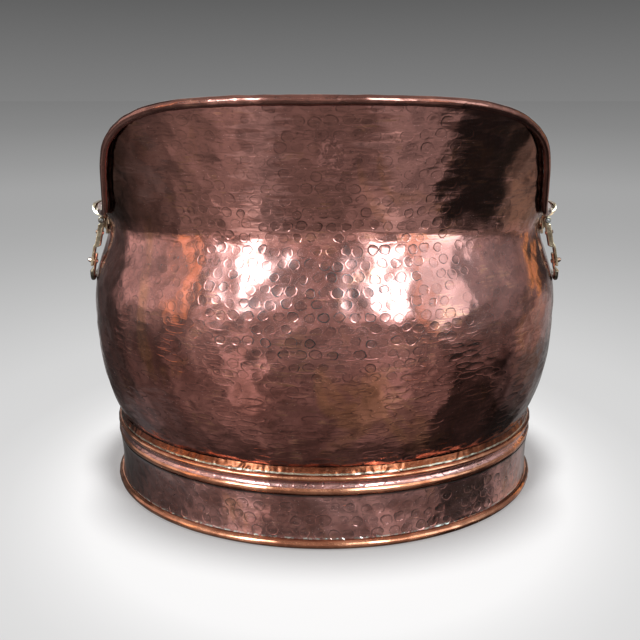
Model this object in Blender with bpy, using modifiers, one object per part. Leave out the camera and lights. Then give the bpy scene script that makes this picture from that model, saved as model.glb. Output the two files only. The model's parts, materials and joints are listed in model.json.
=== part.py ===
"""A hammered copper coal scuttle: an oval bellied bin on a spreading foot, its rolled rim
dipping at both ends, where a hinged brass drop handle hangs.

Metres, +Z up, the origin on the floor below the middle. X runs along the length.
"""
import math

import bmesh
import bpy
from mathutils import Matrix, Vector

MM = 0.001

# Plan: every ring of the body is the belly's oval, moved out or in along its normal.
BELLY_HALF_WIDTH = 213.0 * MM
PLAN_DEPTH_SHARE = 0.84
STATIONS = 60
STATION_CROWDING = 0.08

# Body wall. Half widths are those of the outer face on the X axis.
SHEET = 1.2 * MM
FIT_GAP = 0.3 * MM
WELD = 0.01 * MM
CREASE_ANGLE = math.radians(40)
PLAN_HALVINGS = 40
BELLY_HEIGHT = 160.0 * MM
NECK_IN = 17.2 * MM
NECK_HEIGHT = 247.0 * MM
NECK_FRONT_RISE = 12.0 * MM
NECK_RISE_POWER = 4
LOWER_IN = 17.4 * MM
LOWER_RISE = 7.4 * MM
LOWER_CURVE_POWER = 2.5
UPPER_CURVE_POWER = 1.6
COLLAR_CURVE_POWER = 1.3
LOWER_ROWS = 5
UPPER_ROWS = 7
UPPER_ROW_POWER = 1.5
COLLAR_ROWS = 3

# Rolled rim, a saddle: low at the two ends and high at front and back.
RIM_DIP_RISE = 11.4 * MM
RIM_SADDLE_RISE = 93.4 * MM
RIM_DIP_IN = 10.6 * MM
RIM_TOP_IN = -17.0 * MM
RIM_CURVE_SHARES = (
    (0.00, 0.000), (0.25, 0.000), (0.38, 0.012), (0.45, 0.048), (0.50, 0.135), (0.55, 0.285),
    (0.60, 0.460), (0.65, 0.624), (0.71, 0.751), (0.80, 0.885), (0.90, 0.969), (1.00, 1.000),
)
RIM_WIRE_RADIUS = 2.1 * MM
RIM_WIRE_FIT = 0.4 * MM
ROLL_START = math.radians(180)
ROLL_END = math.radians(-90)
ROLL_ROWS = 7
WIRE_SIDES = 8

# Foot: a spreading band between beads, closed above by a run of solder.
BAND_IN = 13.6 * MM
BAND_WAIST = 1.0 * MM
BAND_NECK_IN = 17.9 * MM
BAND_SHOULDER_HEIGHT = 44.2 * MM
BAND_SHOULDER_RISE = 1.6 * MM
BAND_ROWS = 4
BASE_RING_RADIUS = 3.9 * MM
BASE_RING_FLAT_CUT = 0.3 * MM
BASE_RING_IN = 13.5 * MM
LOWER_BEAD_RADIUS = 4.4 * MM
LOWER_BEAD_PROUD = 1.0 * MM
UPPER_BEAD_RADIUS = 2.5 * MM
UPPER_BEAD_DROP = 1.1 * MM
BEAD_GROOVE = 4.1 * MM
BEAD_SIDES = 8
SOLDER_WIDTH = 5.6 * MM
SOLDER_BACK_SHARE = 0.95
SOLDER_STEP_SHARE = 0.25

# Bottom: a flat plate lying on the inturned flange of the wall.
FLANGE_WIDTH = 8.0 * MM
SOCKET_DEPTH = 9.0 * MM
SOCKET_RISE = 6.0 * MM
BASE_PLATE_THICKNESS = 1.5 * MM

# Handle plates: brass, following the neck, with a lip hooked up round the rim.
PLATE_THICKNESS = 2.2 * MM
PLATE_STANDOFF = 0.5 * MM
PLATE_LOW = 13.0 * MM
PLATE_WING_HALF = 35.2 * MM
PLATE_FOOT_WIDTH_SHARE = 0.62
PLATE_TOP_WIDTH_SHARE = 0.74
PLATE_LIP_WIDTH_SHARE = 0.56
LIP_STANDOFF = 2.2 * MM
LIP_START = math.radians(-100)
LIP_END = math.radians(22)
PLATE_COLUMNS = 12
PLATE_WING_ROWS = 4
PLATE_LIP_ROWS = 5
PLATE_RIVET_RADIUS = 1.9 * MM
PLATE_RIVET_HEAD_RADIUS = 3.2 * MM
PLATE_RIVET_HEAD_HEIGHT = 1.5 * MM
PLATE_RIVET_DROP = 5.1 * MM
PLATE_RIVET_SLACK = 0.45 * MM
PLATE_RIVET_TURN = math.radians(8)

# Handles: two straps on pins, and a bowed rod riveted to their tongues.
ARM_HALF_SPAN = 40.0 * MM
STRAP_WIDTH = 5.6 * MM
STRAP_THICKNESS = 4.6 * MM
STRAP_LENGTH = 23.6 * MM
ARM_GAP = 0.6 * MM
ARM_SAMPLES = 12
EYE_RADIUS = 3.2 * MM
EYE_GAP = 2.2 * MM
PIVOT_RISE = 2.5 * MM
PIN_RADIUS = 1.6 * MM
PIN_HEAD_RADIUS = 2.7 * MM
PIN_HEAD_HEIGHT = 1.2 * MM
PIN_END = 0.5 * MM
LUG_THICKNESS = 3.0 * MM
LUG_BITE = 1.2 * MM
LUG_DROP_SHARE = 0.7
LUG_ROUND_STEPS = 8
EYE_START = math.radians(-50)
EYE_SWEEP = math.radians(280)
EYE_STEPS = 12
EYE_NECK_SHARE = 1.3
STRAP_STEP_SHARE = 0.25
TONGUE_LENGTH = 19.0 * MM
TONGUE_STEP = 1.3 * MM
TONGUE_LEAN_SHARE = 0.9
HANDLE_DROP = 54.0 * MM
ARM_RIVET_RADIUS = 1.3 * MM
ARM_RIVET_HEAD_RADIUS = 2.1 * MM
ARM_RIVET_HEAD_HEIGHT = 1.5 * MM
ARM_RIVET_TAIL_HEIGHT = 0.8 * MM
ARM_RIVET_PLACE = 11.5 * MM
BALL_RIVET_PLACE = 14.0 * MM
BALL_HEAD_RADIUS = 2.5 * MM
BALL_HEAD_HEIGHT = 3.6 * MM
GRIP_RADIUS = 2.3 * MM
GRIP_CORNER = 7.5 * MM
GRIP_BEND_SHARE = 0.25
GRIP_REST_GAP = 0.4 * MM
GRIP_FLAT_WIDTH_SHARE = 1.2
GRIP_FLAT_LENGTH = 12.0 * MM
GRIP_BAR_POINTS = 7
GRIP_CORNER_POINTS = 4
GRIP_SIDES = 10
ROUND_STEPS = 10
DOME_ROWS = 2
HOLE_SIDES = 14
CUT_OVERRUN = 3.0 * MM

# Derived sizes.
RIM_DIP_HEIGHT = NECK_HEIGHT + RIM_DIP_RISE
RIM_TOP_HEIGHT = RIM_DIP_HEIGHT + RIM_SADDLE_RISE
ROLL_INNER_RADIUS = RIM_WIRE_RADIUS + RIM_WIRE_FIT
ROLL_OUTER_RADIUS = ROLL_INNER_RADIUS + SHEET
LOWER_BEAD_HEIGHT = BAND_SHOULDER_HEIGHT + BAND_SHOULDER_RISE + FIT_GAP + LOWER_BEAD_RADIUS
LOWER_BEAD_TOP = LOWER_BEAD_HEIGHT + LOWER_BEAD_RADIUS
UPPER_BEAD_HEIGHT = LOWER_BEAD_TOP + BEAD_GROOVE + UPPER_BEAD_RADIUS
BAND_TOP_HEIGHT = UPPER_BEAD_HEIGHT + UPPER_BEAD_DROP
LOWER_HEIGHT = BAND_TOP_HEIGHT + LOWER_RISE
SOCKET_IN = BAND_NECK_IN + SHEET + FIT_GAP
SOCKET_TOP = LOWER_HEIGHT - SOCKET_RISE
SOCKET_FLOOR = SOCKET_TOP - SOCKET_DEPTH
SOLDER_STEP = SOCKET_RISE * SOLDER_STEP_SHARE
SOLDER_GAP = 2 * FIT_GAP
BASE_RING_HEIGHT = BASE_RING_RADIUS - BASE_RING_FLAT_CUT
BAND_BOTTOM = BASE_RING_HEIGHT + BASE_RING_RADIUS + FIT_GAP
UPPER_BEAD_IN = BAND_NECK_IN - FIT_GAP - UPPER_BEAD_RADIUS
LOWER_BEAD_IN = BAND_IN - LOWER_BEAD_PROUD + LOWER_BEAD_RADIUS
STATION_STEP = 2 * math.pi / STATIONS
LUG_OUTER = ARM_HALF_SPAN - STRAP_WIDTH / 2 - FIT_GAP
LUG_INNER = LUG_OUTER - LUG_THICKNESS
PIVOT_HEIGHT = NECK_HEIGHT + PIVOT_RISE
TONGUE_THICKNESS = (STRAP_THICKNESS - FIT_GAP) / 2

COPPER = ("hammered_copper", (0.30, 0.115, 0.085), 0.24)
BRIGHT_COPPER = ("bright_copper", (0.62, 0.25, 0.12), 0.22)
RIVET_COPPER = ("rivet_copper", (0.55, 0.24, 0.14), 0.30)
BRASS = ("brass", (0.52, 0.40, 0.20), 0.30)
STEEL = ("rim_steel", (0.35, 0.35, 0.36), 0.45)
SOLDER = ("solder", (0.47, 0.45, 0.39), 0.42)


def clear_scene():
    for thing in list(bpy.data.objects):
        bpy.data.objects.remove(thing, do_unlink=True)


def new_collection(name):
    group = bpy.data.collections.new(name)
    bpy.context.scene.collection.children.link(group)
    return group


def finish_material(finish):
    name, colour, roughness = finish
    material = bpy.data.materials.get(name)
    if material:
        return material
    material = bpy.data.materials.new(name)
    material.use_nodes = True
    shader = material.node_tree.nodes["Principled BSDF"]
    shader.inputs["Base Color"].default_value = (*colour, 1.0)
    shader.inputs["Roughness"].default_value = roughness
    shader.inputs["Metallic"].default_value = 1.0
    return material


def add_object(name, data, finish, group, place=None):
    thing = bpy.data.objects.new(name, data)
    if place:
        thing.matrix_world = place
    group.objects.link(thing)
    if finish:
        data.materials.append(finish_material(finish))
    return thing


def plan_point(angle, inset, height):
    """A point on the oval that lies inset inside the belly's, measured along its normal."""
    across = Vector((math.cos(angle), PLAN_DEPTH_SHARE * math.sin(angle), 0)) * BELLY_HALF_WIDTH
    point = across - plan_normal(angle) * inset
    point.z = height
    return point


def plan_normal(angle):
    return Vector((PLAN_DEPTH_SHARE * math.cos(angle), math.sin(angle), 0)).normalized()


def angle_for(y, inset):
    """The plan angle, near the +X end, at which the inset oval has this Y."""
    low, high = -math.pi / 2, math.pi / 2
    for _ in range(PLAN_HALVINGS):
        middle = (low + high) / 2
        if plan_point(middle, inset, 0).y < y:
            low = middle
        else:
            high = middle
    return (low + high) / 2


def wall_inset(height):
    """How far the wall's outer face lies inside the belly, from the seam up to the neck."""
    if height < BELLY_HEIGHT:
        drop = (BELLY_HEIGHT - height) / (BELLY_HEIGHT - LOWER_HEIGHT)
        return LOWER_IN * min(drop, 1) ** LOWER_CURVE_POWER
    climb = min((height - BELLY_HEIGHT) / (NECK_HEIGHT - BELLY_HEIGHT), 1)
    return NECK_IN * math.sin(math.pi / 2 * climb ** UPPER_CURVE_POWER) ** 2


def wall_outward(angle, height):
    """The wall's outward direction, leaning with the belly's slope."""
    step = SHEET / 2
    slope = (wall_inset(height + step) - wall_inset(height - step)) / (2 * step)
    return (plan_normal(angle) + Vector((0, 0, slope))).normalized()


def wall_x(y, height):
    inset = wall_inset(height)
    return plan_point(angle_for(y, inset), inset, height).x


def rim_rise(angle):
    """Share of the saddle's rise: level along each dip, then a steep corner, then a crown.

    A smooth curve through the rim's curve points that never swings past one of them.
    """
    along = min(abs(math.sin(angle)), 1)
    curve = RIM_CURVE_SHARES
    spans = [end[0] - start[0] for start, end in zip(curve, curve[1:])]
    slopes = [(end[1] - start[1]) / span for start, end, span in zip(curve, curve[1:], spans)]
    tangents = [0.0]
    for before, after in zip(slopes, slopes[1:]):
        both = before + after
        tangents.append(2 * before * after / both if both > 0 else 0.0)
    tangents.append(slopes[-1] / 2)
    number = 0
    while number < len(spans) - 1 and along > curve[number + 1][0]:
        number += 1
    t = (along - curve[number][0]) / spans[number]
    start, end = curve[number][1], curve[number + 1][1]
    lean_in, lean_out = (spans[number] * slope for slope in tangents[number:number + 2])
    rise = start + (end - start) * t * t * (3 - 2 * t)
    return rise + lean_in * t * (1 - t) ** 2 - lean_out * t * t * (1 - t)


def rim_centre(angle):
    rise = rim_rise(angle)
    height = RIM_DIP_HEIGHT + (RIM_TOP_HEIGHT - RIM_DIP_HEIGHT) * rise
    return plan_point(angle, RIM_DIP_IN + (RIM_TOP_IN - RIM_DIP_IN) * rise, height)


def rim_frame(angle):
    """The rim's centre, its outward direction and its upward one, square to its run."""
    half_step = STATION_STEP / 2
    run = (rim_centre(angle + half_step) - rim_centre(angle - half_step)).normalized()
    outward = plan_normal(angle)
    outward = (outward - run * outward.dot(run)).normalized()
    return rim_centre(angle), outward, outward.cross(run)


def rim_offset(angle, turn, radius):
    centre, outward, upward = rim_frame(angle)
    return centre + (outward * math.cos(turn) + upward * math.sin(turn)) * radius


def spread(start, end, rows):
    return [start + (end - start) * row / rows for row in range(rows + 1)]


def body_section(angle):
    """Outer face of the wall at one station, from the flange's edge to the roll's."""
    points = [plan_point(angle, SOCKET_IN + FLANGE_WIDTH, SOCKET_FLOOR)]
    points.append(plan_point(angle, SOCKET_IN, SOCKET_FLOOR))
    points.append(plan_point(angle, SOCKET_IN, SOCKET_TOP))
    heights = spread(LOWER_HEIGHT, BELLY_HEIGHT, LOWER_ROWS)
    for left in spread(1, 0, UPPER_ROWS)[1:]:
        heights.append(NECK_HEIGHT - (NECK_HEIGHT - BELLY_HEIGHT) * left ** UPPER_ROW_POWER)
    points += [plan_point(angle, wall_inset(height), height) for height in heights]
    for point in points:
        climb = max(point.z - BELLY_HEIGHT, 0) / (NECK_HEIGHT - BELLY_HEIGHT)
        point.z += climb * NECK_FRONT_RISE * math.sin(angle) ** NECK_RISE_POWER
    foot = points[-1]
    head = rim_offset(angle, ROLL_START, ROLL_INNER_RADIUS)
    for climb in spread(0, 1, COLLAR_ROWS)[1:-1]:
        point = foot.lerp(head, climb ** COLLAR_CURVE_POWER)
        point.z = foot.z + (head.z - foot.z) * climb
        points.append(point)
    for turn in spread(ROLL_START, ROLL_END, ROLL_ROWS):
        points.append(rim_offset(angle, turn, ROLL_INNER_RADIUS))
    return points


def surface(name, columns, wrap_rows=False, close_section=False):
    """A mesh bent from a flat grid: one column of points for each place along it."""
    run = len(columns)
    rise = len(columns[0])
    bm = bmesh.new()
    x_cells = run if wrap_rows else run - 1
    y_cells = rise if close_section else rise - 1
    bmesh.ops.create_grid(bm, x_segments=x_cells, y_segments=y_cells, size=1)
    for vert in bm.verts:
        across = round((vert.co.x + 1) / 2 * x_cells)
        up = round((vert.co.y + 1) / 2 * y_cells)
        vert.co = columns[across % run][up % rise]
    bmesh.ops.remove_doubles(bm, verts=bm.verts, dist=WELD)
    if close_section:
        bmesh.ops.recalc_face_normals(bm, faces=bm.faces)
    mesh = bpy.data.meshes.new(name)
    bm.to_mesh(mesh)
    bm.free()
    return mesh


def shade(mesh):
    mesh.shade_smooth()
    mesh.set_sharp_from_angle(angle=CREASE_ANGLE)


def station_angles():
    """Plan angles of the stations, either side of each axis, crowded to the rim's corners."""
    evenly = [STATION_STEP * (number + 0.5) for number in range(STATIONS)]
    return [angle + STATION_CROWDING * math.sin(4 * angle) for angle in evenly]


def thicken(thing, thickness):
    solid = thing.modifiers.new("sheet", "SOLIDIFY")
    solid.thickness = thickness
    solid.offset = -1
    solid.use_even_offset = True


def boolean(thing, tool, operation="DIFFERENCE"):
    cut = thing.modifiers.new(tool.name, "BOOLEAN")
    cut.object = tool
    cut.operation = operation
    cut.solver = "EXACT"


def make_tool(thing):
    thing.hide_render = True
    thing.display_type = "WIRE"


def ring(name, section, finish, group):
    """A closed section, as (inset, height) pairs, carried round the oval."""
    columns = []
    for angle in station_angles():
        columns.append([plan_point(angle, inset, height) for inset, height in section])
    mesh = surface(name, columns, wrap_rows=True, close_section=True)
    shade(mesh)
    return add_object(name, mesh, finish, group)


def round_section(inset, height, radius, sides, flat_inset=None, flat_height=None):
    """A circle of points, cut flat at an inner inset or at a lowest height."""
    points = []
    for number in range(sides):
        turn = 2 * math.pi * (number + 0.5) / sides
        across = inset - radius * math.cos(turn)
        up = height + radius * math.sin(turn)
        if flat_inset is not None:
            across = min(across, flat_inset)
        if flat_height is not None:
            up = max(up, flat_height)
        points.append((across, up))
    return points


def turned(name, profile, finish, group, place):
    """A solid turned about Z from a profile of (radius, height) pairs, top to bottom."""
    mesh = bpy.data.meshes.new(name)
    bm = bmesh.new()
    verts = [bm.verts.new((radius, 0, height)) for radius, height in profile]
    for upper, lower in zip(verts, verts[1:]):
        bm.edges.new((upper, lower))
    bm.to_mesh(mesh)
    bm.free()
    thing = add_object(name, mesh, finish, group, place)
    screw = thing.modifiers.new("turn", "SCREW")
    screw.steps = ROUND_STEPS
    screw.render_steps = ROUND_STEPS
    screw.use_merge_vertices = True
    screw.merge_threshold = WELD
    screw.use_smooth_shade = True
    return thing


def dome(radius, height, base):
    """Profile of a rounded head, from its pole down to its edge."""
    arc = []
    for number in range(DOME_ROWS + 1):
        turn = math.pi / 2 * number / DOME_ROWS
        arc.append((radius * math.sin(turn), base + height * math.cos(turn)))
    return arc


def rivet(name, shank, grip, head, tail, finish, group, place):
    """Head up. Head and tail are (radius, height); the shank spans the grip below Z = 0."""
    profile = dome(head[0], head[1], FIT_GAP)
    profile.append((head[0], FIT_GAP / 2))
    profile.append((shank, FIT_GAP / 2))
    below = [(radius, -height) for radius, height in dome(tail[0], tail[1], grip + FIT_GAP)]
    profile.append((shank, -grip - FIT_GAP / 2))
    profile.append((tail[0], -grip - FIT_GAP / 2))
    profile += reversed(below)
    return turned(name, profile, finish, group, place)


def axis_place(origin, direction):
    """A place whose Z points along direction."""
    turn = direction.to_track_quat("Z", "Y").to_matrix().to_4x4()
    return Matrix.Translation(origin) @ turn


def cylinder_tool(name, radius, length, origin, direction, tools):
    bm = bmesh.new()
    bmesh.ops.create_cone(bm, cap_ends=True, segments=HOLE_SIDES, radius1=radius,
                          radius2=radius, depth=length)
    mesh = bpy.data.meshes.new(name)
    bm.to_mesh(mesh)
    bm.free()
    tool = add_object(name, mesh, None, tools, axis_place(origin, direction))
    make_tool(tool)
    return tool


def mesh_of(curve_object, group):
    """Turn a curve object into a mesh one with welded caps."""
    name = curve_object.name
    bpy.context.view_layer.update()
    seen = curve_object.evaluated_get(bpy.context.evaluated_depsgraph_get())
    mesh = bpy.data.meshes.new_from_object(seen)
    place = curve_object.matrix_world.copy()
    bpy.data.objects.remove(curve_object, do_unlink=True)
    bm = bmesh.new()
    bm.from_mesh(mesh)
    bmesh.ops.remove_doubles(bm, verts=bm.verts, dist=WELD)
    bmesh.ops.recalc_face_normals(bm, faces=bm.faces)
    bm.to_mesh(mesh)
    bm.free()
    return add_object(name, mesh, None, group, place)


def flat_plate(name, outlines, thickness, finish, group, place):
    """A flat piece from closed outlines in its own XY plane, holes among them."""
    curve = bpy.data.curves.new(name, "CURVE")
    curve.dimensions = "2D"
    curve.fill_mode = "BOTH"
    curve.extrude = thickness / 2
    for outline in outlines:
        spline = curve.splines.new("POLY")
        spline.points.add(len(outline) - 1)
        for point, (x, y) in zip(spline.points, outline):
            point.co = (x, y, 0, 1)
        spline.use_cyclic_u = True
    return mesh_of(add_object(name, curve, finish, group, place), group)


def tube(name, points, radius, sides, finish, group, cyclic=False):
    """A round rod along the points."""
    curve = bpy.data.curves.new(name, "CURVE")
    curve.dimensions = "3D"
    curve.bevel_depth = radius
    curve.bevel_resolution = (sides - 4) // 2
    curve.use_fill_caps = True
    spline = curve.splines.new("POLY")
    spline.points.add(len(points) - 1)
    for place, point in zip(spline.points, points):
        place.co = (*point, 1)
    spline.use_cyclic_u = cyclic
    spline.use_smooth = True
    return add_object(name, curve, finish, group)


def circle(x, y, radius, sides=HOLE_SIDES):
    turns = [2 * math.pi * number / sides for number in range(sides)]
    return [(x + radius * math.cos(turn), y + radius * math.sin(turn)) for turn in turns]


def make_body_shell(group):
    columns = [body_section(angle) for angle in station_angles()]
    mesh = surface("body_shell", columns, wrap_rows=True)
    shade(mesh)
    body = add_object("body_shell", mesh, COPPER, group)
    thicken(body, SHEET)
    return body


def make_rim_wire(group):
    points = [rim_centre(angle) for angle in station_angles()]
    return tube("rim_wire", points, RIM_WIRE_RADIUS, WIRE_SIDES, STEEL, group, cyclic=True)


def make_base_plate(group):
    inset = SOCKET_IN + SHEET + FIT_GAP
    outline = [plan_point(angle, inset, 0).xy for angle in station_angles()]
    bottom = SOCKET_FLOOR + SHEET + FIT_GAP
    place = Matrix.Translation((0, 0, bottom + BASE_PLATE_THICKNESS / 2))
    return flat_plate("base_plate", [outline], BASE_PLATE_THICKNESS, COPPER, group, place)


def make_foot_band(group):
    waist_height = (BAND_BOTTOM + BAND_SHOULDER_HEIGHT) / 2
    section = []
    for height in spread(BAND_BOTTOM, BAND_SHOULDER_HEIGHT, BAND_ROWS):
        away = (height - waist_height) / (BAND_SHOULDER_HEIGHT - waist_height)
        section.append((BAND_IN + BAND_WAIST * (1 - away ** 2), height))
    section.append((BAND_NECK_IN, BAND_SHOULDER_HEIGHT + BAND_SHOULDER_RISE))
    section.append((BAND_NECK_IN, BAND_TOP_HEIGHT))
    columns = []
    for angle in station_angles():
        columns.append([plan_point(angle, inset, height) for inset, height in section])
    mesh = surface("foot_band", columns, wrap_rows=True)
    shade(mesh)
    band = add_object("foot_band", mesh, COPPER, group)
    thicken(band, SHEET)
    return band


def make_foot_rings(group):
    base = round_section(BASE_RING_IN, BASE_RING_HEIGHT, BASE_RING_RADIUS, BEAD_SIDES,
                         flat_height=0)
    ring("foot_base_ring", base, BRIGHT_COPPER, group)
    lower = round_section(LOWER_BEAD_IN, LOWER_BEAD_HEIGHT, LOWER_BEAD_RADIUS, BEAD_SIDES,
                          flat_inset=BAND_NECK_IN - FIT_GAP)
    ring("foot_lower_bead", lower, BRIGHT_COPPER, group)
    upper = round_section(UPPER_BEAD_IN, UPPER_BEAD_HEIGHT, UPPER_BEAD_RADIUS, BEAD_SIDES)
    ring("foot_upper_bead", upper, BRIGHT_COPPER, group)


def make_solder_seam(group):
    """A fillet lying between the wall and the top of the upper bead."""
    bead_top = UPPER_BEAD_HEIGHT + UPPER_BEAD_RADIUS + FIT_GAP
    climb = (bead_top - SOCKET_TOP) / SOCKET_RISE
    wall_in = SOCKET_IN + (LOWER_IN - SOCKET_IN) * climb - SOLDER_GAP
    section = [
        (wall_in, bead_top),
        (SOCKET_IN - SOLDER_WIDTH, bead_top),
        (SOCKET_IN - SOLDER_WIDTH * SOLDER_BACK_SHARE, bead_top + SOLDER_STEP),
        (LOWER_IN - SOLDER_GAP, LOWER_HEIGHT),
    ]
    return ring("solder_seam", section, SOLDER, group)


def plate_column(share):
    """Inner-to-outer face points of the handle plate, up one line of its width."""
    points = []
    low = NECK_HEIGHT - PLATE_LOW
    inset = NECK_IN - PLATE_STANDOFF - PLATE_THICKNESS
    widths = [PLATE_FOOT_WIDTH_SHARE, 1, 1, PLATE_TOP_WIDTH_SHARE, PLATE_TOP_WIDTH_SHARE]
    for row, width in enumerate(widths):
        height = low + (NECK_HEIGHT - low) * row / PLATE_WING_ROWS
        angle = angle_for(PLATE_WING_HALF * width * share, inset)
        reach = wall_inset(height) - PLATE_STANDOFF - PLATE_THICKNESS
        points.append(plan_point(angle, reach, height))
    radius = ROLL_OUTER_RADIUS + LIP_STANDOFF + PLATE_THICKNESS
    for row, turn in enumerate(spread(LIP_START, LIP_END, PLATE_LIP_ROWS)):
        narrowing = (PLATE_TOP_WIDTH_SHARE - PLATE_LIP_WIDTH_SHARE) * row / PLATE_LIP_ROWS
        width = PLATE_TOP_WIDTH_SHARE - narrowing
        angle = angle_for(PLATE_WING_HALF * width * share, inset)
        points.append(rim_offset(angle, turn, radius))
    return points


def side_mesh(mesh, side):
    """Mirror a mesh made for the +X end to the other end."""
    if side > 0:
        return
    bm = bmesh.new()
    bm.from_mesh(mesh)
    bmesh.ops.scale(bm, vec=(-1, 1, 1), verts=bm.verts)
    bmesh.ops.reverse_faces(bm, faces=bm.faces)
    bm.to_mesh(mesh)
    bm.free()


def upright(side, y):
    """Place whose XY plane is the world's XZ plane at this Y, X pointing outward."""
    turn = Matrix(((side, 0, 0), (0, 0, -side), (0, 1, 0))).to_4x4()
    return Matrix.Translation((0, y, 0)) @ turn


def pivot_x():
    return wall_x(ARM_HALF_SPAN - STRAP_WIDTH / 2, NECK_HEIGHT) + EYE_GAP + EYE_RADIUS


def arm_lean():
    """The least lean at which a straight arm clears the wall all the way to the grip."""
    leans = []
    for share in spread(0, 1, ARM_SAMPLES)[1:]:
        drop = HANDLE_DROP * share
        wall = wall_x(ARM_HALF_SPAN - STRAP_WIDTH / 2, PIVOT_HEIGHT - drop)
        leans.append(math.atan((wall + ARM_GAP + STRAP_THICKNESS / 2 - pivot_x()) / drop))
    return max(leans)


def make_lug_tool(name, side, facing, tools):
    """A cheek that stands out from the plate and takes the pin."""
    axle = pivot_x()
    inner = wall_x(LUG_INNER, NECK_HEIGHT) + PLATE_STANDOFF + LUG_BITE
    outline = [(inner, NECK_HEIGHT - PLATE_LOW * LUG_DROP_SHARE)]
    for number in range(LUG_ROUND_STEPS + 1):
        turn = math.pi * (1 - number / LUG_ROUND_STEPS)
        outline.append((axle + EYE_RADIUS * math.cos(turn),
                        PIVOT_HEIGHT + EYE_RADIUS * math.sin(turn)))
    place = upright(side, facing * (LUG_OUTER + LUG_INNER) / 2)
    hole = circle(axle, PIVOT_HEIGHT, PIN_RADIUS + FIT_GAP)
    tool = flat_plate(name, [outline, hole], LUG_THICKNESS, None, tools, place)
    make_tool(tool)
    return tool


def make_handle_plate(end, side, body, group, tools):
    shares = spread(-1, 1, PLATE_COLUMNS)
    mesh = surface(end + "_handle_plate", [plate_column(share) for share in shares])
    side_mesh(mesh, side)
    shade(mesh)
    plate = add_object(end + "_handle_plate", mesh, BRASS, group)
    thicken(plate, PLATE_THICKNESS)
    for label, facing in (("front", -1), ("back", 1)):
        name = end + "_" + label + "_lug_shape"
        boolean(plate, make_lug_tool(name, side, facing, tools), "UNION")
    make_plate_rivets(end, side, plate, body, group, tools)
    return plate


def make_plate_rivets(end, side, plate, body, group, tools):
    grip = PLATE_THICKNESS + PLATE_STANDOFF + SHEET + PLATE_RIVET_SLACK
    height = NECK_HEIGHT - PLATE_RIVET_DROP
    head = (PLATE_RIVET_HEAD_RADIUS, PLATE_RIVET_HEAD_HEIGHT)
    for label, step in (("front", -1), ("middle", 0), ("back", 1)):
        angle = PLATE_RIVET_TURN * step
        outward = wall_outward(angle, height)
        origin = plan_point(angle, wall_inset(height), height)
        origin += outward * (PLATE_STANDOFF + PLATE_THICKNESS)
        origin.x *= side
        outward.x *= side
        name = end + "_plate_rivet_" + label
        rivet(name, PLATE_RIVET_RADIUS, grip, head, head, RIVET_COPPER, group,
              axis_place(origin, outward))
        hole = cylinder_tool(name + "_hole", PLATE_RIVET_RADIUS + FIT_GAP,
                             2 * (grip + CUT_OVERRUN), origin, outward, tools)
        boolean(plate, hole)
        boolean(body, hole)


def arm_point(along, away, lean, start):
    """A point beside a leaning line: along it downward, away from it outward."""
    x = start[0] + along * math.sin(lean) + away * math.cos(lean)
    z = start[1] - along * math.cos(lean) + away * math.sin(lean)
    return x, z


def tongue_start():
    """Where the tongue's centre line begins, stepped outward from the strap's end."""
    end = arm_point(STRAP_LENGTH, 0, arm_lean(), (pivot_x(), PIVOT_HEIGHT))
    return end[0] + TONGUE_STEP, end[1]


def make_strap(name, side, y, group):
    pivot = (pivot_x(), PIVOT_HEIGHT)
    half = STRAP_THICKNESS / 2
    step = half * STRAP_STEP_SHARE
    neck = EYE_RADIUS * EYE_NECK_SHARE
    start = tongue_start()
    lean = arm_lean()
    tongue_lean = lean * TONGUE_LEAN_SHARE
    outline = []
    for number in range(EYE_STEPS + 1):
        turn = EYE_START + EYE_SWEEP * number / EYE_STEPS - lean
        outline.append((pivot[0] + EYE_RADIUS * math.cos(turn),
                        pivot[1] + EYE_RADIUS * math.sin(turn)))
    outline.append(arm_point(neck, -half, lean, pivot))
    outline.append(arm_point(STRAP_LENGTH, -half, lean, pivot))
    inner = half - TONGUE_THICKNESS
    outline.append(arm_point(half - step, inner, tongue_lean, start))
    outline.append(arm_point(TONGUE_LENGTH, inner, tongue_lean, start))
    outline.append(arm_point(TONGUE_LENGTH, half - inner, tongue_lean, start))
    outline.append(arm_point(TONGUE_LENGTH - half, half, tongue_lean, start))
    outline.append(arm_point(step, half, tongue_lean, start))
    outline.append(arm_point(STRAP_LENGTH - half, half, lean, pivot))
    outline.append(arm_point(neck, half, lean, pivot))
    hole = circle(pivot[0], pivot[1], PIN_RADIUS + FIT_GAP)
    strap = flat_plate(name, [outline, hole], STRAP_WIDTH, None, group, upright(side, y))
    strap.data.materials.clear()
    strap.data.materials.append(finish_material(BRASS))
    return strap


def outward_place(side, y, point, lean):
    """A place on an arm's line, Z square to the arm and pointing outward."""
    direction = Vector((side * math.cos(lean), 0, math.sin(lean)))
    return Vector((side * point[0], y, point[1])), direction


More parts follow.
